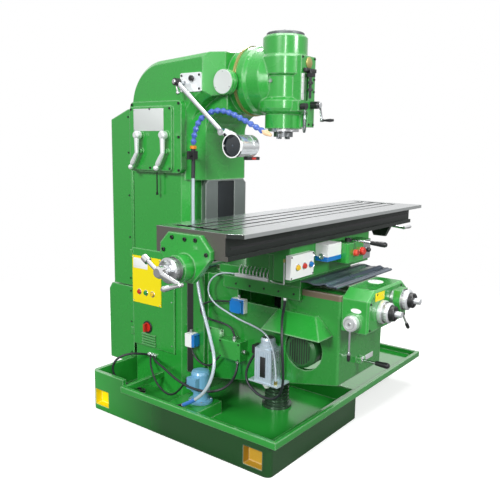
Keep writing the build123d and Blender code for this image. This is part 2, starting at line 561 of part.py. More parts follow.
# Front lever on its pin
with BuildPart() as knee_lever:
    rod((LEVER_X - 22, ear_pin, KNEE_LEVER_Z), (LEVER_X + 22, ear_pin, KNEE_LEVER_Z), 5)
    rod((LEVER_X - 13.5, ear_pin, KNEE_LEVER_Z), (LEVER_X + 13.5, ear_pin, KNEE_LEVER_Z), 11)
    rod((LEVER_X, ear_pin, KNEE_LEVER_Z), (LEVER_X, ear_pin - 80, KNEE_LEVER_Z), 6)
    grip = [(0, 0), (10, 0), (13, 44), (13, 56), (9, 62), (0, 62)]
    turned((LEVER_X, ear_pin - 73, KNEE_LEVER_Z), (0, -1, 0), grip)
keep(knee_lever, "knee_lever")

# Feed gearbox on the knee's front: clipped corners, a bearing block for the cross shaft, a selector boss
ELEVATING_X, ELEVATING_Z = -68, 666
CROSS_X, CROSS_Z = 38, 708
SELECTOR_Y, SELECTOR_Z = -503, 632
SELECTOR_FACE = -GEARBOX_HALF - 6
with BuildPart() as knee_gearbox:
    outline = mirrored([(GEARBOX_HALF, 590), (GEARBOX_HALF, 728), (134, 766)])
    prism_y(GEARBOX_FACE, KNEE_FRONT, outline)
    chamfer(knee_gearbox.faces().sort_by(Axis.Y)[0].edges(), 8)
    rod((CROSS_X, GEARBOX_FACE, CROSS_Z), (CROSS_X, GEARBOX_FACE - 20, CROSS_Z), 32)
    block = [(36, 44), (40, -8), (16, -58)]
    prism_y(CROSS_FACE, GEARBOX_FACE - 18, [(CROSS_X + x, CROSS_Z + z) for x, z in mirrored(block)])
    rod((-GEARBOX_HALF, SELECTOR_Y, SELECTOR_Z), (SELECTOR_FACE, SELECTOR_Y, SELECTOR_Z), 37)
    for bore_x, bore_z, face in ((ELEVATING_X, ELEVATING_Z, GEARBOX_FACE), (CROSS_X, CROSS_Z, CROSS_FACE)):
        rod((bore_x, face, bore_z), (bore_x, GEARBOX_FACE + 50, bore_z), 14 + RUN_GAP, Mode.SUBTRACT)
    rod((SELECTOR_FACE, SELECTOR_Y, SELECTOR_Z), (-140, SELECTOR_Y, SELECTOR_Z), 9 + RUN_GAP, Mode.SUBTRACT)
keep(knee_gearbox, "knee_gearbox")

# Front shafts with graduated dials, clutch notches and bare ends
ELEVATING_DIAL = [(50, SLIDE_GAP), (50, 16), (44, 18), (44, 40), (38, 44), (32, 45), (32, 61)]
CROSS_DIAL = [(44, SLIDE_GAP), (44, 24), (38, 28), (32, 30), (32, 46)]
for name, shaft_x, shaft_z, face, inner_end, dial in (
    ("elevating_shaft", ELEVATING_X, ELEVATING_Z, GEARBOX_FACE, -46, ELEVATING_DIAL),
    ("cross_shaft", CROSS_X, CROSS_Z, CROSS_FACE, -96, CROSS_DIAL),
):
    with BuildPart() as front_shaft:
        hub_end = dial[-1][1] + 3
        shape = [(0, inner_end), (14, inner_end), (14, SLIDE_GAP)] + dial
        shape += [(29, hub_end), (13, hub_end), (13, hub_end + 26), (0, hub_end + 26)]
        turned((shaft_x, face, shaft_z), (0, -1, 0), shape)
        for notch in range(3):
            angle = math.radians(120 * notch)
            notch_x, notch_z = shaft_x + 24 * math.cos(angle), shaft_z + 24 * math.sin(angle)
            notch_y = face - hub_end + 10
            rod((notch_x, notch_y, notch_z), (notch_x, notch_y - 12, notch_z), 6, Mode.SUBTRACT)
    keep(front_shaft, name)

# Feed selector: a deep disc with a hanging lever
with BuildPart() as feed_selector:
    shape = [(0, -46), (9, -46), (9, SLIDE_GAP), (33, SLIDE_GAP), (33, 24), (29, 29), (0, 29)]
    turned((SELECTOR_FACE, SELECTOR_Y, SELECTOR_Z), (-1, 0, 0), shape)
    lever_x = SELECTOR_FACE - 21
    rod((lever_x, SELECTOR_Y, SELECTOR_Z), (lever_x, SELECTOR_Y, SELECTOR_Z - 132), 4.5)
    grip = [(0, -6), (7, -6), (8, 22), (5, 32), (0, 32)]
    turned((lever_x, SELECTOR_Y, SELECTOR_Z - 128), (0, 0, -1), grip)
keep(feed_selector, "feed_selector")

# Feed motor in the round opening of the knee, with a finned body
with BuildPart() as feed_motor:
    shape = [(0, 0), (90, 0), (90, 12), (66, 12)]
    for fin in range(8):
        shape += [(66, 20 + 16 * fin), (74, 20 + 16 * fin), (74, 26 + 16 * fin), (66, 26 + 16 * fin)]
    shape += [(66, 150), (76, 152), (76, 196), (64, 206), (0, 206)]
    turned((-30, FEED_MOTOR_Y, FEED_MOTOR_Z), (-1, 0, 0), shape)
keep(feed_motor, "feed_motor")

# Sheet hood over the feed motor, open below
with BuildPart() as motor_hood:
    with BuildSketch(Plane.XY.offset(560)):
        with Locations((-262, -272)):
            Rectangle(116, 296)
    with BuildSketch(Plane.XY.offset(636)):
        with Locations((-216, -247)):
            Rectangle(24, 196)
    loft()
    offset(amount=-3, openings=motor_hood.faces().sort_by(Axis.Z)[0])
keep(motor_hood, "motor_hood")

# Elevating screw hanging from the knee's roof into the sleeve
with BuildPart() as elevating_screw:
    rod((0, 0, 140), (0, 0, 690), SCREW_R)
    rod((0, 0, 680), (0, 0, 705), 58)
keep(elevating_screw, "elevating_screw")

# Electrical boxes of the knee's left side: a junction box with glands, and two limit switches with plungers
with BuildPart() as switch_boxes:
    span_box(-262, -KNEE_HALF, 34, 162, 352, 446)
    fillet(switch_boxes.faces().sort_by(Axis.X)[0].edges(), 6)
    rod((-236, 86, 446), (-236, 86, 464), 11)
    rod((-236, 66, 352), (-236, 66, 338), 11)
    span_box(-KNEE_HALF - 30, -KNEE_HALF, 38, 110, 578, 644)
    span_box(-KNEE_HALF - 46, -KNEE_HALF - 30, 41, 107, 581, 641)
    rod((-KNEE_HALF - 16, 74, 644), (-KNEE_HALF - 16, 74, 662), 7)
    span_box(-278, -232, 324, 366, 366, 432)
    span_box(-275, -235, 308, 324, 369, 429)
    rod((-255, 345, 432), (-255, 345, 450), 7)
keep(switch_boxes, "switch_boxes")

# Electric oil pump on a shelf of the knee's left side
LUBE_X, LUBE_Y = -260, -122
with BuildPart() as lube_pump:
    span_box(-300, -KNEE_HALF, -206, -48, 300, 308)
    span_box(-212, -KNEE_HALF, -186, -56, 308, 470)
    span_box(LUBE_X - 36, LUBE_X + 48, LUBE_Y - 44, LUBE_Y + 44, 308, 462)
    for rib_y in range(-36, 37, 12):
        span_box(LUBE_X - 39, LUBE_X - 35, LUBE_Y + rib_y - 3, LUBE_Y + rib_y + 3, 320, 450)
    cap = [(0, 0), (40, 0), (40, 10), (33, 14), (33, 36), (28, 46), (12, 52), (0, 52)]
    turned((LUBE_X + 4, LUBE_Y, 462), (0, 0, 1), cap)
    turned((LUBE_X, LUBE_Y, 300), (0, 0, -1), [(0, 0), (20, 0), (20, 14), (12, 28), (0, 28)])
    span_box(LUBE_X - 24, LUBE_X + 20, LUBE_Y + 44, LUBE_Y + 70, 425, 464)
    rod((-284, -186, 308), (-284, -186, 324), 8)
keep(lube_pump, "lube_pump")

# Saddle: cross slide on the knee's dovetail, with the table bed and the front block
PANEL_FRONT = BED_FRONT - 24
SADDLE_BUTTON_XS = {"yellow": -333, "red": -283, "blue": -233}
SADDLE_BUTTON_Z = 860
with BuildPart() as saddle:
    span_box(-SADDLE_HALF, SADDLE_HALF, SADDLE_FRONT, SADDLE_BACK, 690, 790)
    span_box(-207, 207, SADDLE_FRONT, SADDLE_BACK, 690, KNEE_TOP_Z + SLIDE_GAP, Mode.SUBTRACT)
    for side in (-1, 1):
        gib = (side * 190, side * SADDLE_HALF)
        span_box(min(gib), max(gib), 165, SADDLE_BACK, 690, KNEE_TOP_Z + SLIDE_GAP, Mode.SUBTRACT)
    groove = [(RAIL_HALF + 0.5, RAIL_TOP_Z + SLIDE_GAP), (RAIL_ROOT_HALF + 0.5, KNEE_TOP_Z)]
    prism_y(SADDLE_FRONT, SADDLE_BACK, mirrored(groove), Mode.SUBTRACT)
    for side in (-1, 1):
        shelf = (side * SADDLE_BLOCK_HALF, side * SADDLE_HALF)
        span_box(min(shelf), max(shelf), SADDLE_FRONT, SADDLE_BACK, SHELF_Z, 790, Mode.SUBTRACT)
        cheek = (side * (SADDLE_BLOCK_HALF - 4), side * (SADDLE_HALF - 4))
        span_box(min(cheek), max(cheek), SADDLE_FRONT, -92, SHELF_Z - 4, 905)
    span_box(-SADDLE_BLOCK_HALF, SADDLE_BLOCK_HALF, SADDLE_FRONT, 60, 790, 905)
    span_box(-BED_HALF, BED_HALF, BED_FRONT, -205, 795, 905)
    span_box(-BED_HALF, BED_HALF, BED_FRONT, BED_BACK, 900, BED_TOP_Z)
    fillet(saddle.edges().filter_by(Axis.Z).group_by(Axis.Y)[0], 8)
    bed_groove = [(-52, 950), (-52, 943), (-36, 927.5), (-212, 927.5), (-196, 943), (-196, 950)]
    prism_x(-BED_HALF, BED_HALF, bed_groove, Mode.SUBTRACT)
    rod((-BED_HALF, SCREW_Y, SCREW_Z), (BED_HALF, SCREW_Y, SCREW_Z), LEADSCREW_R + 1, Mode.SUBTRACT)
keep(saddle, "saddle")

# White control plate of the saddle and its three buttons
with BuildPart() as saddle_panel:
    span_box(-382, -208, PANEL_FRONT, BED_FRONT, 814, 912)
    for button_x in SADDLE_BUTTON_XS.values():
        hole, hole_end = (button_x, PANEL_FRONT, SADDLE_BUTTON_Z), (button_x, PANEL_FRONT + 14, SADDLE_BUTTON_Z)
        rod(hole, hole_end, 11.4, Mode.SUBTRACT)
keep(saddle_panel, "saddle_panel")

for colour, button_x in SADDLE_BUTTON_XS.items():
    with BuildPart() as saddle_button:
        shape = [(0, -8), (11, -8), (11, 9), (9, 11), (0, 11)]
        turned((button_x, PANEL_FRONT, SADDLE_BUTTON_Z), (0, -1, 0), shape)
    keep(saddle_button, f"saddle_button_{colour}")

# Power feed box with two knobs, and its lever
FEED_LEVER_X, FEED_LEVER_Y = 22, -350
with BuildPart() as power_feed_box:
    span_box(-38, 184, -384, BED_FRONT, 842, 930)
    fillet(power_feed_box.edges().filter_by(Axis.Z).group_by(Axis.Y)[0], 12)
    for knob_x, knob_r in ((24, 15), (84, 18), (140, 11)):
        shape = [(0, 0), (knob_r, 0), (knob_r, 14), (knob_r - 3, 18), (0, 18)]
        turned((knob_x, -384, 884), (0, -1, 0), shape)
    span_box(-156, -42, -352, BED_FRONT, 862, 936)
    rod((FEED_LEVER_X, FEED_LEVER_Y, 900), (FEED_LEVER_X, FEED_LEVER_Y, 930), 8 + RUN_GAP, Mode.SUBTRACT)
keep(power_feed_box, "power_feed_box")

with BuildPart() as power_feed_lever:
    hub_z = 930 + SLIDE_GAP
    hub = [(0, -26), (8, -26), (8, 0), (15, 0), (15, 16), (0, 16)]
    turned((FEED_LEVER_X, FEED_LEVER_Y, hub_z), (0, 0, 1), hub)
    rod((FEED_LEVER_X, FEED_LEVER_Y, 939), (FEED_LEVER_X, -470, 936), 5)
    grip = [(0, 0), (9, 0), (12, 50), (12, 66), (8, 74), (0, 74)]
    turned((FEED_LEVER_X, -462, 936.2), (0, -1, -0.02), grip)
keep(power_feed_lever, "power_feed_lever")

# Oil distributor: a bar on the saddle's shelf with a row of bent pipes
with BuildPart() as oil_distributor:
    span_box(-224, -206, -88, 100, SHELF_Z, SHELF_Z + 15)
    for pipe in range(9):
        pipe_y = -80 + 20 * pipe
        rod((-215, pipe_y, SHELF_Z + 12), (-215, pipe_y, SHELF_Z + 36), 3)
        rod((-215, pipe_y, SHELF_Z + 34), (-188, pipe_y + 8, SHELF_Z + 50), 3)
keep(oil_distributor, "oil_distributor")

# Rippled rubber apron that shields the knee's ways in front of the saddle
with BuildPart() as rubber_apron:
    top = [(SADDLE_FRONT - 11 * n, 781 + 4 * math.sin(math.pi * n / 1.6)) for n in range(17)]
    under = [(y, z - 6) for y, z in reversed(top)]
    prism_x(-226, 300, top + under)
keep(rubber_apron, "rubber_apron")

# Table: three closed-end T-slots, end gutters, a front lip and the bed dovetail below
with BuildPart() as table:
    span_box(TABLE_LEFT, TABLE_RIGHT, TABLE_FRONT, TABLE_BACK, TABLE_UNDER_Z, TABLE_TOP_Z)
    lip_front = TABLE_FRONT - TABLE_LIP
    lip_plan = [
        (TABLE_LEFT, TABLE_FRONT), (TABLE_LEFT + 26, lip_front), (TABLE_RIGHT + 9, lip_front),
        (TABLE_RIGHT + 9, TABLE_FRONT),
    ]
    prism_z(TABLE_TOP_Z - 16, TABLE_TOP_Z, lip_plan)
    span_box(TABLE_LEFT, TABLE_RIGHT, TABLE_FRONT - 12, TABLE_FRONT, TABLE_UNDER_Z, TABLE_UNDER_Z + 18)
    slot_left, slot_right = TABLE_LEFT + 62, TABLE_RIGHT - 62
    foot_z = TABLE_TOP_Z - SLOT_DEPTH - SLOT_FOOT_H
    for slot_y in SLOT_YS:
        half, foot = SLOT_W / 2, SLOT_FOOT_W / 2
        span_box(slot_left, slot_right, slot_y - half, slot_y + half, foot_z, TABLE_TOP_Z, Mode.SUBTRACT)
        foot_top = foot_z + SLOT_FOOT_H
        span_box(slot_left, slot_right, slot_y - foot, slot_y + foot, foot_z, foot_top, Mode.SUBTRACT)
    for gutter_x in (slot_left, slot_right):
        span_box(gutter_x - 16, gutter_x + 16, -231, 7, foot_z, TABLE_TOP_Z, Mode.SUBTRACT)
    span_box(slot_left, slot_right, -243, -231, TABLE_TOP_Z - 8, TABLE_TOP_Z, Mode.SUBTRACT)
    slide_foot = [(-52.5, 943), (-37, 928), (-211, 928), (-195.5, 943)]
    prism_x(TABLE_LEFT + 40, TABLE_RIGHT - 40, slide_foot)
keep(table, "table")

# End brackets that carry the table screw
with BuildPart() as table_brackets:
    left_plate = [
        (-40, 1028), (-196, 1028), (-246, 975), (-246, 946), (-190, 880), (-160, 848), (-88, 848), (-58, 880),
        (2, 946), (2, 985),
    ]
    prism_x(TABLE_LEFT - 24, TABLE_LEFT, left_plate)
    right_plate = [(-40, 1010), (-208, 1010), (-208, 946), (-160, 850), (-88, 850), (-40, 946)]
    prism_x(TABLE_RIGHT, TABLE_RIGHT + 22, right_plate)
    rod((TABLE_LEFT - 24, SCREW_Y, SCREW_Z), (TABLE_LEFT - 74, SCREW_Y, SCREW_Z), 51)
    rod((TABLE_RIGHT + 22, SCREW_Y, SCREW_Z), (TABLE_RIGHT + 56, SCREW_Y, SCREW_Z), 46)
    bore = LEADSCREW_R + RUN_GAP
    rod((TABLE_LEFT - 80, SCREW_Y, SCREW_Z), (TABLE_RIGHT + 60, SCREW_Y, SCREW_Z), bore, Mode.SUBTRACT)
keep(table_brackets, "table_brackets")

# Table screw from end to end, with a graduated dial at the left
with BuildPart() as leadscrew:
    left_face, right_face = TABLE_LEFT - 74, TABLE_RIGHT + 56
    rod((left_face - 74, SCREW_Y, SCREW_Z), (right_face + 44, SCREW_Y, SCREW_Z), LEADSCREW_R)
    dial = [(0, SLIDE_GAP), (42, SLIDE_GAP), (42, 8), (47, 10), (47, 38), (40, 43), (24, 44), (24, 66), (0, 66)]
    turned((left_face, SCREW_Y, SCREW_Z), (-1, 0, 0), dial)
    collar = [(0, SLIDE_GAP), (30, SLIDE_GAP), (30, 16), (24, 22), (0, 22)]
    turned((right_face, SCREW_Y, SCREW_Z), (1, 0, 0), collar)
keep(leadscrew, "leadscrew")

# Crank handles at both ends of the screw
LEFT_ARM, RIGHT_ARM = Vector(0, -112, -26), Vector(0, -104, -10)
LEFT_WEIGHT, RIGHT_WEIGHT = Vector(0, 64, 40), Vector(0, 22, 2)
with BuildPart() as table_cranks:
    for face_x, side, arm, weight in (
        (left_face - 67, -1, LEFT_ARM, LEFT_WEIGHT), (right_face + 23, 1, RIGHT_ARM, RIGHT_WEIGHT)
    ):
        hub = Vector(face_x, SCREW_Y, SCREW_Z)
        out = Vector(side, 0, 0)
        turned(tuple(hub), tuple(out), [(0, 0), (22, 0), (22, 16), (16, 26), (0, 26)])
        start = hub + out * 14
        rod(tuple(start), tuple(start + arm + out * 12), 9)
        rod(tuple(start), tuple(start + weight), 8)
        turned(tuple(start + weight), tuple(weight), [(0, -14), (14, -12), (14, 12), (9, 17), (0, 17)])
        grip = [(0, -9), (9, -9), (9, 6), (7, 12), (11, 60), (10, 78), (5, 86), (0, 86)]
        turned(tuple(start + arm + out * 12), tuple(out), grip)
    rod((left_face - 74, SCREW_Y, SCREW_Z), (right_face + 44, SCREW_Y, SCREW_Z), LEADSCREW_R, Mode.SUBTRACT)
keep(table_cranks, "table_cranks")

# White hose from the coolant valve down to the tank
with BuildPart() as coolant_supply_hose:
    route = [
        (-250, 336, 1277), (-251, 338, 1081), (-260, 325, 890), (-280, 287, 742), (-303, 243, 626),
        (-340, 151, 482), (-384, 76, 382), (-418, 82, 278), (-434, 142, 198), (-440, 228, 151),
    ]
    cord_tube(route, 8)
keep(coolant_supply_hose, "coolant_supply_hose")

# Cables from the cabinet's glands: the supply loop into the base, and the pump's cable
gland_x = -COLUMN_HALF - 14
with BuildPart() as tray_cables:
    supply_loop = [
        (gland_x, 662, GLAND_Z), (-292, 672, 262), (-340, 705, 268), (-380, 752, 245), (-398, 774, 198),
        (-392, 764, 144), (-366, 728, 110), (-342, 680, 98), (-322, 636, 86),
    ]
    cord_tube(supply_loop, 6)
    pump_lead = [
        (gland_x, 640, GLAND_Z), (-280, 612, 228), (-308, 572, 200), (-334, 515, 156), (-345, 440, 122),
        (-352, 380, 130), (-358, 330, 170), (-366, 290, 215), (-368, 258, 245),
    ]
    cord_tube(pump_lead, 5)
keep(tray_cables, "tray_cables")

# Cable from the cabinet to the junction box of the knee
with BuildPart() as knee_cable:
    route = [
        (gland_x, 618, GLAND_Z), (-300, 560, 252), (-345, 440, 250), (-388, 320, 236), (-398, 205, 222),
        (-378, 110, 224), (-340, 50, 250), (-255, 58, 282), (-236, 66, 335),
    ]
    cord_tube(route, 6)
keep(knee_cable, "knee_cable")

# Leads between the knee's electrical boxes
with BuildPart() as knee_leads:
    upper_lead = [
        (-236, 86, 464), (-239, 96, 500), (-243, 150, 518), (-247, 225, 520), (-248, 284, 534),
        (-248, 292, 572), (-246, 262, 598), (-241, 190, 620), (-230, 110, 626),
    ]
    cord_tube(upper_lead, 4.5)
    lower_lead = [
        (-255, 345, 366), (-254, 336, 328), (-252, 302, 296), (-250, 258, 284), (-248, 222, 292),
        (-243, 190, 326), (-238, 162, 363),
    ]
    cord_tube(lower_lead, 4.5)
keep(knee_leads, "knee_leads")

# Oil tube from the knee's oil pump up to the saddle's distributor
with BuildPart() as oil_tube:
    route = [
        (-215, 101, 756), (-222, 134, 759), (-239, 186, 752), (-257, 226, 714), (-267, 228, 654),
        (-274, 178, 611), (-279, 100, 588), (-284, 20, 566), (-290, -70, 554), (-294, -136, 536),
        (-294, -174, 480), (-288, -186, 400), (-284, -186, 324),
    ]
    cord_tube(route, 4)
keep(oil_tube, "oil_tube")

# Black cable from the saddle down to the oil pump's terminal box
with BuildPart() as saddle_cable:
    route = [
        (-217, -180, 686), (-232, -187, 652), (-282, -212, 628), (-326, -240, 586), (-345, -256, 525),
        (-347, -263, 460), (-340, -263, 395), (-328, -254, 334), (-314, -230, 278), (-306, -190, 248),
        (-302, -140, 240), (-300, -86, 252), (-294, -28, 290), (-284, -24, 358), (-268, -62, 425),
    ]
    cord_tube(route, 6)
keep(saddle_cable, "saddle_cable")
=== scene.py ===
import json
import math
from itertools import product

import bmesh
import bpy
from bpy.props import FloatProperty, FloatVectorProperty, IntProperty, PointerProperty
from bpy.types import Operator, Panel, PropertyGroup
from mathutils import Matrix, Vector

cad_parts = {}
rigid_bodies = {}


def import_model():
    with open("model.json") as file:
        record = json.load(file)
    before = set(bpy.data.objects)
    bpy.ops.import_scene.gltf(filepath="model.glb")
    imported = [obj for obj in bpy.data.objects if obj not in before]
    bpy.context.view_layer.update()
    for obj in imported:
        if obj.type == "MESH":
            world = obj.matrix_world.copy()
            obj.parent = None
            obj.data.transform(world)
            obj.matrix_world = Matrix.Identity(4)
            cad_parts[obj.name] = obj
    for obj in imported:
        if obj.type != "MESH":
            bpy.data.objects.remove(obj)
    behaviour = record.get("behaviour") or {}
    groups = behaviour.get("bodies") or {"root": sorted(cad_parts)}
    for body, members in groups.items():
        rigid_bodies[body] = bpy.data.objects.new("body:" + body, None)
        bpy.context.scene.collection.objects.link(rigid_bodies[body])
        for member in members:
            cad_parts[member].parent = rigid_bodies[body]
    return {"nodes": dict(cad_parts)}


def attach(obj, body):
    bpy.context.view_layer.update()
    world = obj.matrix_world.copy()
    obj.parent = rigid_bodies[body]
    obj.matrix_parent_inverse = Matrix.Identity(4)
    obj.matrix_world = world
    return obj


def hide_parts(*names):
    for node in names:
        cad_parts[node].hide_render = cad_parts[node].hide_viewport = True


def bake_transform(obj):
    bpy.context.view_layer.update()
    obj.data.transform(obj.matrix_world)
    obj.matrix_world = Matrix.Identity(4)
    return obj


for leftover in list(bpy.data.objects):
    bpy.data.objects.remove(leftover, do_unlink=True)
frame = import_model()

bl_info = {
    "name": "Knee Milling Machine Looks",
    "version": (1, 0, 0),
    "blender": (4, 5, 0),
    "location": "3D View > Sidebar > Mill",
    "description": "Finishes, cords, small fittings and studio for a vertical knee milling machine",
    "category": "Object",
}

MM = 0.001
LEFT, RIGHT = (-1, 0, 0), (1, 0, 0)
FRONT, BACK = (0, -1, 0), (0, 1, 0)
DOWN, UP = (0, 0, -1), (0, 0, 1)

# Faces and middles that carry fittings, in millimetres
COLUMN_SIDE = 235
COVER_FACE = -282
DOOR_FACE = -247
CONTROL_FACE = -251
HEAD_FACE = -125
GEARBOX_FACE = -570
PANEL_FACE = -314
NECK = (202, 1630)
SWIVEL = (0, 1645)
LAMP_MIDDLE = (96, 1344)
PUMP = (-315, 228)
SELECTOR = (-225, -503, 632)

# Fineness of small solids and cords, and the angle from which an edge stays sharp
SCREW_SIDES = 14
TUBE_SIDES = 12
CORD_STEPS = 10
CORD_ROUNDING = 4
SHARP_ANGLE = math.radians(38)

# Dial marks: depth in millimetres, and the share of a full length that the short ones have
TICK_DEPTH = 0.8
SHORT_TICK = 0.55

# Apron in millimetres; its folds are heights by share of its reach
APRON_SPAN = (-226, 300)
APRON_REACH = (-262.4, -438)
APRON_TOP = 779.5
APRON_THICK = 6.0
APRON_COLUMNS, APRON_ROWS = 16, 44
APRON_FOLDS = (
    (0.0, 0.0), (0.18, 2.5), (0.4, -3.0), (0.54, -1.0), (0.66, 6.0), (0.8, -1.5), (0.9, 1.0), (1.0, -6.0),
)

# Camera of the photo: lens and sensor in millimetres, place and reach in metres, turn in degrees
CAMERA_LENS, CAMERA_SENSOR, CAMERA_REACH = 44.428, 36.0, 60.0
CAMERA_PLACE = (-2.41127, -1.65321, 1.35032)
CAMERA_TURN = (80.30880, -0.89702, -52.54682)

# Studio lights in metres: place, aim, width and height
LIGHTS = {
    "key": ((-9.0, -0.6, 5.3), (0.0, 0.3, 1.0), (2.4, 2.4)),
    "fill": ((0.1, -5.2, 3.3), (0.1, -0.2, 1.0), (1.6, 1.6)),
    "top": ((0.4, 0.2, 4.4), (0.0, 0.1, 0.9), (2.2, 2.2)),
    "back": ((3.4, 3.0, 5.0), (0.1, 0.4, 1.0), (1.6, 1.6)),
    "window": ((-3.8, -2.7, 2.2), (0.0, 0.0, 1.4), (0.5, 1.8)),
}

# Floor in metres, the distances over which it fades, and its tone for all rays but the camera's
FLOOR_RADIUS, FLOOR_SIDES = 8.0, 64
FLOOR_PLACE = (0.0, 0.1, -0.001)
FLOOR_FADE = (1.4, 4.0)
FLOOR_BOUNCE = (0.2, 0.2, 0.2, 1.0)


def srgb(red, green, blue):
    """Linear colour of an 8-bit display colour."""
    shares = [channel / 255 for channel in (red, green, blue)]
    return (*[s / 12.92 if s <= 0.04045 else ((s + 0.055) / 1.055) ** 2.4 for s in shares], 1.0)


def darker(color, share):
    """A colour at a share of its brightness."""
    return (*[channel * share for channel in color[:3]], 1.0)


# Colours that several finishes share, and the pale tone mixed into rounded edges as a painted highlight
GREEN = srgb(42, 155, 56)
MOTOR_GREEN = srgb(38, 96, 46)
DARK_IRON = srgb(38, 44, 41)
CHROME = srgb(226, 229, 232)
BRASS = srgb(176, 166, 102)
WHITE = srgb(246, 248, 247)
LAMP_SILVER = srgb(246, 250, 252)
YELLOW = srgb(250, 230, 12)
RED = srgb(206, 44, 32)
BLUE = srgb(14, 120, 202)
BLACK = srgb(28, 29, 31)
# painted highlight: the pale tone that rounded edges are mixed toward
EDGE_HIGHLIGHT_TONE = (0.34, 0.36, 0.34)


def power(label, use, watts):
    """Setting for the power of a studio light."""
    use = f"Power of the {use}"
    return FloatProperty(name=label, description=use, subtype="POWER", default=watts, min=0.0)


class MillStageSettings(PropertyGroup):
    """Studio around the machine"""

    floor_color: FloatVectorProperty(
        name="Floor Color", description="Colour of the studio floor",
        subtype="COLOR", size=3, default=(0.8, 0.8, 0.8)
    )
    floor_glow: FloatProperty(
        name="Floor Glow", description="Light added to the floor where the camera sees it",
        default=0.5, min=0.0, max=1.0
    )
    ambient: FloatProperty(
        name="Ambient", description="Strength of the even light from all round",
        default=0.13, min=0.0, max=2.0
    )
    key_power: power("Key Power", "large light on the left", 770.0)
    fill_power: power("Fill Power", "light at the operator's side", 205.0)
    top_power: power("Top Power", "light overhead", 80.0)
    back_power: power("Back Power", "light behind the machine", 130.0)
    window_power: power("Window Power", "tall light that draws highlights", 54.0)


class MillPaintSettings(PropertyGroup):
    """Enamel of the castings"""

    body_color: FloatVectorProperty(
        name="Body Color", description="Enamel colour of the castings",
        subtype="COLOR", size=3, default=GREEN[:3]
    )
    gloss: FloatProperty(
        name="Gloss", description="Weight of the clear layer over the enamel", default=0.7, min=0.0, max=1.0
    )
    edge_radius: FloatProperty(
        name="Edge Radius", description="Radius that softens casting edges in the shading",
        subtype="DISTANCE", unit="LENGTH", default=0.010, min=0.0
    )


class MillDetailSettings(PropertyGroup):
    """Small fittings"""

    round_sides: IntProperty(
        name="Round Sides", description="Sides of round fittings", default=28, min=8, max=96
    )
    tick_width: FloatProperty(
        name="Tick Width", description="Width of a dial mark",
        subtype="DISTANCE", unit="LENGTH", default=0.0012, min=0.0002
    )


class Nodes:
    """A node tree with short ways to add to it; an input is a value or the socket that feeds it."""

    def __init__(self, tree):
        self.tree = tree

    def plug(self, node, inputs):
        """Sets or links the inputs of a node."""
        for key, value in inputs.items():
            if isinstance(value, bpy.types.NodeSocket):
                self.tree.links.new(value, node.inputs[key])
            else:
                node.inputs[key].default_value = value

    def add(self, kind, inputs=None, **settings):
        """Output sockets of a new node."""
        node = self.tree.nodes.new(f"ShaderNode{kind}")
        for key, value in settings.items():
            setattr(node, key, value)
        self.plug(node, inputs or {})
        return node.outputs

    def math(self, operation, first, second=0.0, third=0.0):
        """One step of arithmetic."""
        return self.add("Math", {0: first, 1: second, 2: third}, operation=operation)[0]

    def vector(self, operation, first, second=(0.0, 0.0, 0.0)):
        """One step of vector arithmetic; a scale takes a number second."""
        other = "Scale" if operation == "SCALE" else 1
        made = self.add("VectorMath", {0: first, other: second}, operation=operation)
        return made["Value" if operation in ("DOT_PRODUCT", "LENGTH") else "Vector"]

    def mix(self, share, first, second, kind="RGBA"):
        """A run from the first colour or number to the second."""
        start, end = (6, 2) if kind == "RGBA" else (2, 0)
        return self.add("Mix", {0: share, start: first, start + 1: second}, data_type=kind)[end]

    def map_range(self, value, low, high, start, end, **settings):
        """A value carried from one range to another."""
        return self.add("MapRange", dict(enumerate((value, low, high, start, end))), **settings)[0]

    def noise(self, place, scale, detail):
        """A soft noise."""
        return self.add("TexNoise", {"Vector": place, "Scale": scale, "Detail": detail})["Fac"]

    def place(self):
        """The place on the piece, in metres."""
        return self.add("TexCoord")["Object"]

    def group(self, name, inputs):
        """Output sockets of a shared group, which is made on first use."""
        made = bpy.data.node_groups.get(name) or new_group(name, *EFFECTS[name])
        return self.add("Group", inputs, node_tree=made)


def cleared(owner):
    """The emptied node tree of a material or a world."""
    owner.use_nodes = True
    owner.node_tree.nodes.clear()
    return Nodes(owner.node_tree)


def paint_coat(nodes, given):
    """Sprayed enamel: broad tone drift, a fine orange-peel height and uneven gloss."""
    place = nodes.place()
    drift = nodes.math("SUBTRACT", nodes.noise(place, scale=3.1, detail=4.0), 0.5)
    smear = nodes.math("SUBTRACT", nodes.noise(place, scale=14.0, detail=3.0), 0.5)
    peel = nodes.noise(place, scale=210.0, detail=1.0)
    shade = nodes.math("MULTIPLY_ADD", drift, given["Mottle"], 1.0)
    return {
        "Base Color": nodes.vector("SCALE", given["Color"], shade),
        "Roughness": nodes.math("MULTIPLY_ADD", smear, 0.22, given["Roughness"]),
        "Bump Height": nodes.math("MULTIPLY", peel, given["Peel"]),
    }


def machined_grain(nodes, given):
    """Cut metal: fine streaks drawn out along the given grain."""
    place = nodes.place()
    streak = nodes.noise(nodes.vector("MULTIPLY", place, given["Grain"]), scale=1.0, detail=5.0)
    cloud = nodes.noise(place, scale=6.0, detail=3.0)
    mixed = nodes.math("MULTIPLY_ADD", cloud, 0.5, nodes.math("MULTIPLY", streak, 0.5))
    swing = nodes.math("MULTIPLY", nodes.math("SUBTRACT", mixed, 0.5), given["Contrast"])
    return {
        "Base Color": nodes.vector("SCALE", given["Color"], nodes.math("ADD", swing, 1.0)),
        "Roughness": nodes.math("MULTIPLY_ADD", swing, -0.3, given["Roughness"]),
        "Bump Height": nodes.math("MULTIPLY", streak, 0.03),
    }


CHANNELS = {"Base Color": "RGBA", "Roughness": "FLOAT", "Metallic": "FLOAT", "Coat Weight": "FLOAT"}
REGION_CHANNELS = [f"Region {label}" for label in CHANNELS]


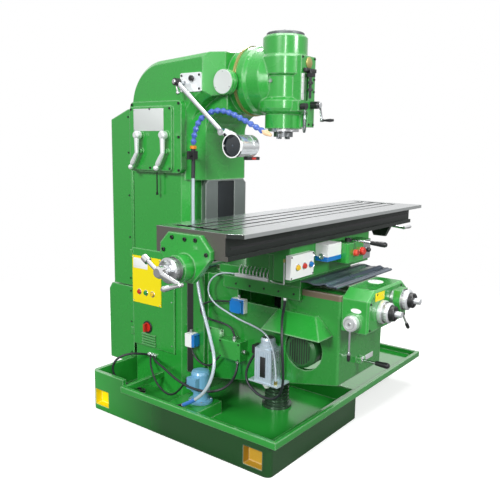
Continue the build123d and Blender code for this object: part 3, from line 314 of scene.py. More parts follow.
def region_finish(nodes, given):
    """A second finish inside a box of the rest frame; outside it the first one passes through."""
    place = nodes.place()
    above = nodes.vector("SUBTRACT", place, given["Low"])
    below = nodes.vector("SUBTRACT", given["High"], place)
    depth = nodes.add("SeparateXYZ", {0: nodes.vector("MINIMUM", above, below)})
    least = nodes.math("MINIMUM", depth[0], nodes.math("MINIMUM", depth[1], depth[2]))
    inside = nodes.math("GREATER_THAN", least, 0.0)
    return {
        label: nodes.mix(inside, given[label], given[f"Region {label}"], kind)
        for label, kind in CHANNELS.items()
    }


def soft_edges(nodes, given):
    """Rounded edges in the shading, with a painted highlight that mixes the rounded part toward a paler tone.
    """
    rounded = nodes.add("Bevel", {"Radius": given["Radius"]}, samples=4)["Normal"]
    flat = nodes.add("NewGeometry")["Normal"]
    bent = nodes.math("SUBTRACT", 1.0, nodes.vector("DOT_PRODUCT", rounded, flat))
    share = nodes.math("MINIMUM", nodes.math("MULTIPLY", bent, given["Lift"]), 1.0)
    highlight_color = nodes.vector("ADD", given["Base Color"], EDGE_HIGHLIGHT_TONE)
    return {"Base Color": nodes.mix(share, given["Base Color"], highlight_color), "Normal": rounded}


DEPTHS = ("Front", "Back", "Front Tone", "Back Tone")


def depth_tone(nodes, given):
    """Painted shade: a colour scale that runs from the operator's side to the back of the machine."""
    depth = nodes.add("SeparateXYZ", {0: nodes.place()})[1]
    share = nodes.map_range(depth, *[given[label] for label in DEPTHS])
    return {"Base Color": nodes.vector("SCALE", given["Base Color"], share)}


# Shared effects: what makes each one, and the sockets that it is given
EFFECTS = {
    "paint_coat": (paint_coat, ("Color", "Roughness", "Mottle", "Peel")),
    "machined_grain": (machined_grain, ("Color", "Roughness", "Grain", "Contrast")),
    "region_finish": (region_finish, (*CHANNELS, "Low", "High", *REGION_CHANNELS)),
    "soft_edges": (soft_edges, ("Base Color", "Radius", "Lift")),
    "depth_tone": (depth_tone, ("Base Color", *DEPTHS)),
}


def add_sockets(tree, direction, labels):
    """Named sockets of a group; the name tells the kind."""
    for label in labels:
        kind = "Vector" if label in ("Grain", "Low", "High", "Normal") else "Float"
        kind = "Color" if label.endswith("Color") else kind
        tree.interface.new_socket(name=label, in_out=direction, socket_type=f"NodeSocket{kind}")


def new_group(name, effect, labels):
    """The shader group of an effect."""
    tree = bpy.data.node_groups.new(name, "ShaderNodeTree")
    add_sockets(tree, "INPUT", labels)
    results = effect(Nodes(tree), tree.nodes.new("NodeGroupInput").outputs)
    add_sockets(tree, "OUTPUT", results)
    Nodes(tree).plug(tree.nodes.new("NodeGroupOutput"), results)
    return tree


def material(name, color, rough=0.35, metallic=0.0, coat=0.0, grain=None, mottle=0.16, peel=0.05,
             contrast=0.5, radius=0.0015, edge_highlight=0.35, regions=(), shade_slope=None):
    """A procedural finish: enamel or plastic without a grain, cut metal with one, plus boxed regions, a
    painted highlight on rounded edges and, where a slope is given, painted shade along the depth.
    """
    found = bpy.data.materials.get(name)
    if found:
        return found
    made = bpy.data.materials.new(name)
    made.diffuse_color = color
    nodes = cleared(made)
    if grain:
        kind, extra = "machined_grain", {"Grain": grain, "Contrast": contrast}
    else:
        kind, extra = "paint_coat", {"Mottle": mottle, "Peel": peel}
    surface = nodes.group(kind, {"Color": color, "Roughness": rough, **extra})
    channels = dict(zip(CHANNELS, (surface["Base Color"], surface["Roughness"], metallic, coat)))
    # painted shade: the colour is scaled along the depth of the machine
    if shade_slope:
        slope = {"Base Color": channels["Base Color"], **dict(zip(DEPTHS, shade_slope))}
        channels["Base Color"] = nodes.group("depth_tone", slope)["Base Color"]
    for low, high, *look in regions:
        inside = dict(zip(REGION_CHANNELS, (*look, 0.0)))
        region = nodes.group("region_finish", {
            **channels, **inside, "Low": Vector(low) * MM, "High": Vector(high) * MM,
        })
        channels = {label: region[label] for label in CHANNELS}
    # painted highlight: rounded edges are mixed toward a paler tone by the given share
    edges = nodes.group("soft_edges", {"Base Color": channels["Base Color"], "Radius": radius, "Lift": edge_highlight})
    bump = nodes.add("Bump", {
        "Height": surface["Bump Height"], "Normal": edges["Normal"], "Distance": MM, "Strength": 1.0,
    })
    channels.update({"Base Color": edges["Base Color"], "Normal": bump["Normal"], "Coat Roughness": 0.1})
    nodes.add("OutputMaterial", {"Surface": nodes.add("BsdfPrincipled", channels)["BSDF"]})
    return made


def stock_looks():
    """Settings of the stock finishes, by name."""
    paint = bpy.context.scene.mill_paint
    return {
        # the enamel's edges carry a strong painted highlight
        "green": dict(color=(*paint.body_color, 1.0), rough=0.26, mottle=0.08, peel=0.015, coat=paint.gloss,
                      radius=paint.edge_radius, edge_highlight=2.4),
        "steel": dict(color=srgb(196, 198, 200), rough=0.28, metallic=1.0, grain=(60, 60, 60), radius=0.001),
        "chrome": dict(color=CHROME, rough=0.14, metallic=1.0, grain=(40, 40, 40), contrast=0.2,
                       radius=0.001),
        "iron": dict(color=DARK_IRON, rough=0.42, metallic=0.5, grain=(30, 30, 30)),
        "oily": dict(color=srgb(44, 56, 48), rough=0.24, metallic=0.7, grain=(30, 30, 30), radius=0.001),
        "brass": dict(color=BRASS, rough=0.36, metallic=0.6, grain=(80, 80, 80)),
        "black": dict(color=BLACK, rough=0.46, mottle=0.3, radius=0.001),
        "rubber": dict(color=srgb(74, 85, 98), rough=0.3, mottle=0.3, peel=0.04, coat=0.6, radius=0.002),
        "plate": dict(color=srgb(208, 213, 211), rough=0.4, mottle=0.06, radius=0.001),
        "dull": dict(color=srgb(46, 50, 52), rough=0.6, metallic=0.9, mottle=0.3, radius=0.001, edge_highlight=0.1),
        "hose_blue": dict(color=srgb(72, 104, 190), rough=0.24, mottle=0.16, coat=0.5, radius=0.002),
        "button_yellow": dict(color=srgb(240, 196, 40), rough=0.3, mottle=0.12, radius=0.001),
        "white": dict(color=WHITE, rough=0.4, mottle=0.06, radius=0.001),
        "yellow": dict(color=YELLOW, rough=0.4, mottle=0.08, radius=0.001),
        "red": dict(color=RED, rough=0.3, mottle=0.12, radius=0.001),
        "blue": dict(color=BLUE, rough=0.34, mottle=0.1, radius=0.001),
        "hose": dict(color=srgb(182, 196, 204), rough=0.24, mottle=0.2, coat=0.4, radius=0.001),
        "cord": dict(color=srgb(34, 36, 42), rough=0.46, mottle=0.3, radius=0.001),
        "lens": dict(color=srgb(30, 38, 44), rough=0.1, mottle=0.2, coat=1.0, radius=0.001),
        "tick": dict(color=srgb(24, 25, 26), rough=0.6, mottle=0.2, radius=0.0005),
        "silver_paint": dict(color=srgb(226, 230, 230), rough=0.36, metallic=0.35, mottle=0.14, coat=0.2),
    }


def plain(use):
    """One of the stock finishes by name."""
    return material(use, **stock_looks()[use])


def add_object(name, data):
    """An object in the scene."""
    made = bpy.data.objects.new(name, data)
    bpy.context.scene.collection.objects.link(made)
    return made


def mesh_object(name, mesh):
    """An object in the scene from a mesh that is done."""
    data = bpy.data.meshes.new(name)
    mesh.to_mesh(data)
    mesh.free()
    return add_object(name, data)


def directions(along):
    """Unit directions of an axis and of two lines across it."""
    axis = Vector(along).normalized()
    across = axis.orthogonal().normalized()
    return axis, across, axis.cross(across)


def around(middle, radius, degrees):
    """Pairs of coordinates round a circle."""
    turns = [math.radians(turn) for turn in degrees]
    first, second = middle
    return [(first + radius * math.cos(turn), second + radius * math.sin(turn)) for turn in turns]


def boss(radius, height, top, shoulder):
    """Profile of a round boss with a chamfered rim."""
    return [(0, height), (top, height), (radius, shoulder), (radius, 0), (0, 0)]


def collar(bore, radius, shoulder, top, height):
    """Profile of a collar with a chamfered rim."""
    return [(bore, 0), (radius, 0), (radius, shoulder), (top, height), (bore, height), (bore, 0)]


class Shape:
    """Simple solids, given in millimetres in the machine's frame, gathered into one piece."""

    def __init__(self):
        self.mesh = bmesh.new()

    def box(self, low, high, bevel=0.0):
        """A block between two corners, with its edges rounded."""
        low, high = Vector(low) * MM, Vector(high) * MM
        matrix = Matrix.Translation((low + high) / 2) @ Matrix.Diagonal((*(high - low), 1.0))
        corners = bmesh.ops.create_cube(self.mesh, size=1.0, matrix=matrix)["verts"]
        if bevel:
            edges = {edge for corner in corners for edge in corner.link_edges}
            bmesh.ops.bevel(
                self.mesh, geom=list(edges), offset=bevel * MM, segments=2, profile=0.5, affect="EDGES"
            )
        return self

    def ring(self, middle, across, up, radius, sides):
        """Points round a middle that is given in metres, or the middle alone without a radius."""
        if not radius:
            return [self.mesh.verts.new(middle)]
        turns = [2 * math.pi * step / sides for step in range(sides)]
        spokes = [(across * math.cos(turn) + up * math.sin(turn)) * radius * MM for turn in turns]
        return [self.mesh.verts.new(middle + spoke) for spoke in spokes]

    def skin(self, rings):
        """Faces between neighbouring rings; a ring may be a single point."""
        for first, second in zip(rings, rings[1:]):
            count = max(len(first), len(second))
            if count == 1:
                continue
            for step in range(count):
                after = (step + 1) % count
                if len(first) == 1:
                    self.mesh.faces.new((first[0], second[step], second[after]))
                elif len(second) == 1:
                    self.mesh.faces.new((first[step], first[after], second[0]))
                else:
                    self.mesh.faces.new((first[step], first[after], second[after], second[step]))
        return self

    def capped(self, rings):
        """Faces between neighbouring rings and over both ends."""
        self.skin(rings)
        self.mesh.faces.new(rings[0][::-1])
        self.mesh.faces.new(rings[-1])
        return self

    def turned(self, origin, along, profile, sides=None):
        """A turned solid from (radius, distance) points that end on the axis or close on themselves."""
        sides = sides or bpy.context.scene.mill_detail.round_sides
        axis, across, up = directions(along)
        return self.skin([
            self.ring((Vector(origin) + axis * distance) * MM, across, up, radius, sides)
            for radius, distance in profile
        ])

    def turned_at(self, places, along, profile, sides=None):
        """The same turned solid at several places."""
        for place in places:
            self.turned(place, along, profile, sides)
        return self

    def screws(self, places, along, radius, height):
        """Socket-head screws."""
        socket, floor, top, shoulder = radius * 0.5, height * 0.3, radius * 0.88, height * 0.86
        return self.turned_at(places, along, [
            (0, floor), (socket, floor), (socket, height), (top, height), (radius, shoulder), (radius, 0),
            (0, 0),
        ], SCREW_SIDES)

    def prism(self, axis, low, high, outline):
        """A prism along X or Y over an outline in the other two directions."""
        rings = []
        for level in (low, high):
            points = [
                (level, first, second) if axis == "X" else (first, level, second) for first, second in outline
            ]
            rings.append([self.mesh.verts.new([value * MM for value in point]) for point in points])
        return self.capped(rings)

    def tube(self, points, radius, scale=MM):
        """A round tube that follows points, with flat ends."""
        line = [Vector(point) * scale for point in points]
        across = (line[1] - line[0]).orthogonal().normalized()
        rings = []
        for place, point in enumerate(line):
            ahead = (line[min(place + 1, len(line) - 1)] - line[max(place - 1, 0)]).normalized()
            across = (across - ahead * across.dot(ahead)).normalized()
            rings.append(self.ring(point, across, ahead.cross(across), radius, TUBE_SIDES))
        return self.capped(rings)

    def ticks(self, origin, along, radius, start, end, count):
        """Marks round a dial, each fifth one longer."""
        axis, across, up = directions(along)
        width = bpy.context.scene.mill_detail.tick_width
        for number in range(count):
            turn = 2 * math.pi * number / count
            out = across * math.cos(turn) + up * math.sin(turn)
            last = end if number % 5 == 0 else start + (end - start) * SHORT_TICK
            middle = (Vector(origin) + axis * (start + last) / 2 + out * radius) * MM
            facing = Matrix((out, axis, out.cross(axis))).transposed().to_4x4()
            size = Matrix.Diagonal((TICK_DEPTH * MM, (last - start) * MM, width, 1.0))
            bmesh.ops.create_cube(self.mesh, size=1.0, matrix=Matrix.Translation(middle) @ facing @ size)
        return self

    def piece(self, name, finish, body="frame", slot=None):
        """Turns the gathered solids into a named piece that rides on a body."""
        bmesh.ops.recalc_face_normals(self.mesh, faces=self.mesh.faces[:])
        for edge in self.mesh.edges:
            edge.smooth = edge.calc_face_angle(math.pi) < SHARP_ANGLE
        for face in self.mesh.faces:
            face.smooth = True
        made = mesh_object(name, self.mesh)
        made.data.materials.append(plain(finish))
        if body:
            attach(made, body)
        return made


# Nodes that wear one stock finish
STOCK_FINISHES = {
    "green": ("gearbox_cover", "rear_covers", "cabinet_door", "head_housing", "motor_hood"),
    "brass": ("swivel_ring",),
    "steel": ("quill", "leadscrew"),
    "oily": ("elevating_screw",),
    "silver_paint": ("speed_lever_rear", "speed_lever_front", "oil_distributor"),
    "yellow": ("control_plate",),
    "red": ("stop_button", "main_switch", "saddle_button_red"),
    "blue": ("saddle_button_blue",),
    "white": ("saddle_panel",),
    "chrome": ("table_cranks",),
    "button_yellow": ("jog_button", "saddle_button_yellow"),
    "rubber": ("rubber_apron", "tray_cables", "knee_cable", "knee_leads", "saddle_cable"),
    "hose": ("coolant_supply_hose", "oil_tube"),
}


def node_looks():
    """Settings of the nodes with a finish of their own; a region is (low, high, colour, rough, metallic)."""
    stock = stock_looks()
    enamel, cut, polished = stock["green"], stock["steel"], stock["chrome"]
    green = enamel["color"]
    # painted shade: darkened copies of the enamel, a fifth for the base and three quarters for the saddle and
    # knee
    base_shade_green, painted_shade_green = darker(green, 0.2), darker(green, 0.76)
    dark = (BLACK, 0.4, 0.0)
    bare = (srgb(198, 201, 204), 0.34, 1.0)
    white = (WHITE, 0.4, 0.0)
    blue = (BLUE, 0.36, 0.0)
    shaft = dict(cut, color=CHROME, rough=0.38, metallic=0.6)
    return {
        "chip_tray": dict(enamel, rough=0.14, coat=1.0),
        # painted shade: the base's outer walls are darkened to a fifth of the enamel and brighten towards the
        # back; the inside of the tray keeps the plain enamel
        "base": dict(enamel, color=base_shade_green, rough=0.16, coat=1.0, shade_slope=(0.30, 0.78, 1.0, 5.6), regions=[
            ((-480.5, -293.5, 69), (242.5, 786.5, 300), green, 0.16, 0.0),
            ((-499.8, -277, 25), (-459, -177, 109), srgb(190, 152, 44), 0.6, 0.0),
            ((-499.8, 683, 25), (-459, 783, 109), YELLOW, 0.45, 0.0),
            ((-339, 611, 70.2), (-305, 645, 90), *dark),
        ]),
        "column": dict(enamel, regions=[
            ((-159, 339, 204), (159, 396.8, 1176.8), srgb(116, 124, 122), 0.42, 0.35),
            ((-250, 606, 236), (-236, 674, 258), *bare),
        ]),
        # painted shade: the saddle's enamel is darkened to about three quarters
        "saddle": dict(enamel, color=painted_shade_green, rough=0.4, coat=0.2),
        "elevating_sleeve": dict(stock["oily"], color=srgb(64, 88, 70), rough=0.26, metallic=0.5),
        # painted shade: the knee's enamel is darkened to about three quarters
        "knee": dict(enamel, color=painted_shade_green, regions=[
            ((-131, -448.9, 738.2), (131, 301, 770), srgb(150, 148, 140), 0.36, 0.9),
            ((-206, -449.5, 712), (-188, -236, 738.6), srgb(116, 102, 84), 0.46, 0.3),
            # painted shadow: a near-black band along the knee's rear edge stands in for the shaded gap
            # between the knee and the column
            ((-233, 352, 214), (-150, 395, 739), srgb(22, 27, 23), 0.6, 0.0),
        ]),
        "knee_gearbox": dict(enamel, regions=[((4, -588.2, 674), (72, -570.2, 742), *bare)]),
        "main_motor": dict(color=MOTOR_GREEN, rough=0.4, mottle=0.2),
        "contactor_panel": dict(color=srgb(70, 74, 78), rough=0.5, mottle=0.3, regions=[
            ((199, 490, 320), (206, 750, 780), *bare),
        ]),
        "lamp_bracket": dict(color=LAMP_SILVER, rough=0.34, metallic=0.5, mottle=0.12, regions=[
            ((-262, 334, 1632), (-243.2, 366, 1664), *dark),
            ((-300, 388, 1610), (-243.2, 428, 1652), *bare),
        ]),
        "lamp_arm": dict(polished, regions=[((-300, 388, 1610), (-269, 428, 1652), *dark)]),
        "lamp_head": dict(color=LAMP_SILVER, rough=0.24, metallic=0.85, mottle=0.16, regions=[
            ((-263, 30, 1280), (-245.5, 160, 1410), WHITE, 0.35, 0.0),
            ((-261, 47.2, 1295.2), (-249, 144.8, 1392.8), *dark),
        ]),
        "coolant_valve": dict(color=BLACK, rough=0.36, mottle=0.3, regions=[
            ((-270, 316, 1326.8), (-230, 356, 1345), srgb(236, 138, 40), 0.36, 0.0),
        ]),
        "segmented_hose": dict(stock["hose_blue"], regions=[
            ((-180, -60, 1350), (-100, 12, 1416), srgb(236, 198, 156), 0.36, 0.0),
        ]),
        "coolant_pump": dict(color=srgb(112, 170, 204), rough=0.34, coat=0.3, regions=[
            ((-456, 215, 129), (-424, 275, 172), *dark),
        ]),
        "head_cap": dict(color=srgb(92, 97, 98), rough=0.5, metallic=0.5, mottle=0.14, regions=[
            ((-90, -90, 1849.6), (90, 90, 1851), srgb(74, 78, 78), 0.4, 0.3),
        ]),
        "spindle": dict(cut, color=srgb(116, 119, 121), rough=0.34),
        "depth_stop": dict(cut, color=srgb(38, 40, 42), rough=0.36, metallic=0.4),
        "quill_crank": dict(polished, regions=[
            ((30, -240, 1440), (90, -176, 1480), *dark),
            ((20, -172, 1510), (60, -124, 1552), *dark),
        ]),
        "quill_clamp_lever": dict(cut, color=srgb(112, 120, 118), regions=[
            ((-64, -156, 1505), (-32, -124, 1537), *dark),
        ]),
        "knee_lever": dict(polished, regions=[((-45, -600, 398), (-5, -535.5, 438), *dark)]),
        "feed_selector": dict(color=srgb(224, 227, 228), rough=0.3, metallic=0.5, mottle=0.12,
                              radius=0.002, regions=[
            ((-240, -520, 500), (-205, -486, 598), CHROME, 0.16, 1.0),
            ((-240, -520, 466), (-205, -486, 500), *dark),
        ]),
        "elevating_shaft": dict(shaft, regions=[((-104, -634.2, 630), (-32, -614.5, 702), *dark)]),
        "cross_shaft": dict(shaft, regions=[((2, -669.2, 672), (74, -649.5, 744), *dark)]),
        "feed_motor": dict(color=MOTOR_GREEN, rough=0.36, coat=0.4, mottle=0.2),
        "switch_boxes": dict(enamel, radius=0.003, regions=[
            ((-251, 70, 446.3), (-220, 102, 470), *bare),
            ((-251, 50, 330), (-220, 82, 351.7), *bare),
            ((-234.5, 37, 577), (-203, 111, 645), *white),
            ((-252, 37, 577), (-233.8, 111, 645), *blue),
            ((-279, 323.8, 365), (-231, 367, 433), *white),
            ((-276, 307, 368), (-234, 324.2, 430), *blue),
            ((-240, 60, 644.2), (-205, 90, 670), *bare),
            ((-265, 335, 432.2), (-245, 355, 455), *bare),
        ]),
        "lube_pump": dict(color=srgb(196, 212, 224), rough=0.34, metallic=0.3, grain=(30, 30, 90),
                          contrast=0.3, regions=[
            ((-212.3, -187, 308.2), (-203, -55, 471), green, 0.3, 0.0),
            ((-285, -77.8, 424), (-239, -51, 465), *dark),
            ((-292, -158, 508), (-220, -86, 515), srgb(84, 90, 90), 0.4, 0.4),
            ((-300, -160, 270), (-220, -80, 299.8), *white),
            ((-293, -195, 308.3), (-275, -177, 326), BRASS, 0.3, 1.0),
        ]),
        "start_button": dict(stock["red"], color=srgb(34, 150, 62)),
        "power_feed_box": dict(enamel, radius=0.005, regions=[
            ((106, -385, 843), (186, -383.9, 929), *bare),
            ((5, -404, 862), (43, -384.1, 906), srgb(216, 66, 44), 0.36, 0.0),
            ((62, -404, 862), (106, -384.1, 906), RED, 0.32, 0.0),
            ((126, -404, 870), (154, -384.1, 898), *dark),
            ((-157, -353, 882), (-41, -289, 937), *white),
            ((-157, -353, 861), (-41, -289, 882), *blue),
        ]),
        "power_feed_lever": dict(polished, regions=[
            ((0, -540, 915), (45, -460.5, 955), *dark),
            ((0, -372, 929), (45, -330, 950), *dark),
        ]),
        "table": dict(stock["iron"], metallic=0.4, grain=(12, 160, 160), contrast=0.6, radius=0.002, regions=[
            ((-775, -362, 1041.4), (825, 50, 1043), srgb(228, 231, 233), 0.2, 1.0),
            ((-775, -361, 1027), (825, -359.4, 1043), srgb(190, 194, 194), 0.34, 0.8),
            ((-772.5, -362, 900), (-769.6, 50, 1041.4), srgb(86, 84, 79), 0.5, 0.2),
        ]),
        "table_brackets": dict(enamel, regions=[((809.8, -300, 800), (880, 60, 1050), DARK_IRON, 0.4, 0.5)]),
    }


class MILL_OT_finish_nodes(Operator):
    """Give every CAD node its paint, plastic or metal"""

    bl_idname = "mill.finish_nodes"
    bl_label = "Finish Machine Nodes"

    def execute(self, context):
        nodes = frame["nodes"]
        chosen = {node: plain(use) for use, members in STOCK_FINISHES.items() for node in members}
        chosen.update({node: material(f"{node}_finish", **look) for node, look in node_looks().items()})
        missing = sorted(set(nodes) - set(chosen))
        if missing:
            raise RuntimeError(f"no finish is set for {missing}")
        for node, thing in nodes.items():
            thing.data.materials.clear()
            thing.data.materials.append(chosen[node])
        return {"FINISHED"}


# Cord routes by piece: radius in millimetres, real length in metres, points in millimetres
ROUTES = {
    "supply_hose": (8, 1.275, [
        (-250, 336, 1277), (-251, 338, 1081), (-260, 325, 890), (-280, 287, 742), (-303, 243, 626),
        (-340, 151, 482), (-384, 76, 382), (-418, 82, 278), (-434, 142, 198), (-440, 228, 151),
    ]),
    "supply_loop": (6, 0.433, [
        (-249, 662, 247), (-292, 672, 262), (-340, 705, 268), (-380, 752, 245), (-398, 774, 198),
        (-392, 764, 144), (-366, 728, 110), (-342, 680, 98), (-322, 636, 86),
    ]),
    "pump_lead": (5, 0.488, [
        (-249, 640, 247), (-280, 612, 228), (-308, 572, 200), (-334, 515, 156), (-345, 440, 122),
        (-352, 380, 130), (-358, 330, 170), (-366, 290, 215), (-368, 258, 245),
    ]),
    "switch_lead": (4.5, 0.454, [
        (-236, 86, 464), (-239, 96, 500), (-243, 150, 518), (-247, 225, 520), (-248, 284, 534),
        (-248, 292, 572), (-246, 262, 598), (-241, 190, 620), (-230, 110, 626),
    ]),
    "rear_switch_lead": (4.5, 0.258, [
        (-255, 345, 366), (-254, 336, 328), (-252, 302, 296), (-250, 258, 284), (-248, 222, 292),
        (-243, 190, 326), (-238, 162, 363),
    ]),
    "knee_feed_cable": (6, 0.757, [
        (-249, 618, 247), (-300, 560, 252), (-345, 440, 250), (-388, 320, 236), (-398, 205, 222),
        (-378, 110, 224), (-340, 50, 250), (-255, 58, 282), (-236, 66, 335),
    ]),
    "oil_line": (4, 0.811, [
        (-215, 101, 756), (-222, 134, 759), (-239, 186, 752), (-257, 226, 714), (-267, 228, 654),
        (-274, 178, 611), (-279, 100, 588), (-284, 20, 566), (-290, -70, 554), (-294, -136, 536),
        (-294, -174, 480), (-288, -186, 400), (-284, -186, 324),
    ]),
    "saddle_feed_cable": (6, 0.848, [
        (-217, -180, 686), (-232, -187, 652), (-282, -212, 628), (-326, -240, 586), (-345, -256, 525),
        (-347, -263, 460), (-340, -263, 395), (-328, -254, 334), (-314, -230, 278), (-306, -190, 248),
        (-302, -140, 240), (-300, -86, 252), (-294, -28, 290), (-284, -24, 358), (-268, -62, 425),
    ]),
}


def cord_curve(name, points, radius=0.0):
    """A curve whose control points are the route's own."""
    data = bpy.data.curves.new(name, "CURVE")
    data.dimensions = "3D"
    data.resolution_u = CORD_STEPS
    spline = data.splines.new("NURBS")
    spline.points.add(len(points) - 1)
    for place, point in zip(spline.points, points):
        place.co = (*(Vector(point) * MM), 1.0)
    spline.order_u = 3
    spline.use_endpoint_u = True
    data.bevel_depth = radius * MM
    data.bevel_resolution = CORD_ROUNDING
    data.use_fill_caps = True
    return add_object(name, data)


def fixed_cord(name, finish, body, node):
    """A cord that stays on one body."""
    radius, length, points = ROUTES[name]
    made = cord_curve(name, points, radius)
    made.data.materials.append(plain(finish))
    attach(made, body)
    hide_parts(node)


def bending_cord(name, finish, node):
    """A cord between two bodies, laid as a fixed tube along its route; it rides on neither body."""
    radius, length, points = ROUTES[name]
    guide = cord_curve(f"{name}_line", points)
    line = bpy.data.meshes.new_from_object(guide.evaluated_get(bpy.context.evaluated_depsgraph_get()))
    path = [vertex.co.copy() for vertex in line.vertices]
    bpy.data.objects.remove(guide)
    made = Shape().tube(path, radius, scale=1.0).piece(name, finish, None)
    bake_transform(made)
    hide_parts(node)


class MILL_OT_lay_cords(Operator):
    """Lay the hoses, cables and the oil tube along their routes"""

    bl_idname = "mill.lay_cords"
    bl_label = "Lay Cords"

    def execute(self, context):
        for name, finish, body, node, lay in (
            ("supply_hose", "hose", "frame", "coolant_supply_hose", "hanging"),
            ("supply_loop", "cord", "frame", "tray_cables", "loose"),
            ("pump_lead", "cord", "frame", "tray_cables", "loose"),
            ("switch_lead", "cord", "knee", "knee_leads", "loose"),
            ("rear_switch_lead", "cord", "knee", "knee_leads", "hanging"),
        ):
            fixed_cord(name, finish, body, node)
        for name, finish, bodies, start, end, node in (
            ("knee_feed_cable", "cord", ("frame", "knee"), (-249, 560, 250), (-249, 75, 250), "knee_cable"),
            ("oil_line", "hose", ("knee", "saddle"), (-267, 200, 610), (-267, 200, 745), "oil_tube"),
            ("saddle_feed_cable", "cord", ("knee", "saddle"), (-300, -245, 245), (-300, -410, 410),
             "saddle_cable"),
        ):
            bending_cord(name, finish, node)
        return {"FINISHED"}


class MILL_OT_stage(Operator):
    """Build the camera, the lights, the floor and the white surround"""

    bl_idname = "mill.stage"
    bl_label = "Build Studio"

    def execute(self, context):
        scene = context.scene
        settings = scene.mill_stage
        lens = bpy.data.cameras.new("photo_camera")
        lens.sensor_width = CAMERA_SENSOR
        lens.lens = CAMERA_LENS
        lens.clip_end = CAMERA_REACH
        camera = add_object("photo_camera", lens)
        camera.location = CAMERA_PLACE
        camera.rotation_euler = [math.radians(turn) for turn in CAMERA_TURN]
        scene.camera = camera
        scene.view_settings.view_transform = "Standard"
        scene.world = self.surround(settings)

        for use, (place, aim, size) in LIGHTS.items():
            lamp = bpy.data.lights.new(f"{use}_light", "AREA")
            lamp.shape = "RECTANGLE"
            lamp.size, lamp.size_y = size
            lamp.energy = getattr(settings, f"{use}_power")
            light = add_object(f"{use}_light", lamp)
            light.location = place
            light.rotation_euler = (Vector(aim) - Vector(place)).to_track_quat("-Z", "Y").to_euler()

        ground = bmesh.new()
        bmesh.ops.create_circle(ground, cap_ends=True, segments=FLOOR_SIDES, radius=FLOOR_RADIUS)
        floor = mesh_object("studio_floor", ground)
        floor.location = FLOOR_PLACE
        floor.data.materials.append(self.floor_finish(settings))
        return {"FINISHED"}

    def surround(self, settings):
        """White where it is seen, a soft light from above, and darker low down in mirrors."""
        world = bpy.data.worlds.new("studio_white")
        nodes = cleared(world)
        ray = nodes.add("LightPath")
        height = nodes.add("SeparateXYZ", {0: nodes.add("TexCoord")["Generated"]})[2]
        soft = nodes.math("MULTIPLY", nodes.map_range(height, 0.0, 1.0, 0.5, 1.5), settings.ambient)
        mirrored = nodes.map_range(height, -0.15, 0.3, 0.35, 1.0)
        seen = nodes.math("MAXIMUM", ray["Is Camera Ray"], ray["Is Transmission Ray"])
        strength = nodes.mix(ray["Is Glossy Ray"], soft, mirrored, "FLOAT")
        strength = nodes.mix(seen, strength, 1.0, "FLOAT")
        sky = nodes.add("Background", {"Color": (1.0, 1.0, 1.0, 1.0), "Strength": strength})
        nodes.add("OutputWorld", {"Surface": sky[0]})
        return world

    def floor_finish(self, settings):
        """A pale floor that fades into the white surround and sends little light back up."""
        made = bpy.data.materials.new("studio_floor")
        nodes = cleared(made)
        seen = nodes.add("LightPath")["Is Camera Ray"]
        place = nodes.place()
        shade = nodes.math("MULTIPLY_ADD", nodes.noise(place, scale=2.0, detail=2.0), 0.02, 0.99)
        pale = nodes.vector("SCALE", settings.floor_color, shade)
        far = nodes.vector("LENGTH", place)
        glow = (*[settings.floor_glow] * 3, 1.0)
        shader = nodes.add("BsdfPrincipled", {
            "Base Color": nodes.mix(seen, FLOOR_BOUNCE, pale), "Roughness": 0.9,
            "Alpha": nodes.map_range(far, *FLOOR_FADE, 1.0, 0.0, interpolation_type="SMOOTHSTEP"),
            "Emission Color": nodes.mix(seen, (0.0, 0.0, 0.0, 1.0), glow), "Emission Strength": 1.0,
        })
        nodes.add("OutputMaterial", {"Surface": shader["BSDF"]})
        return made


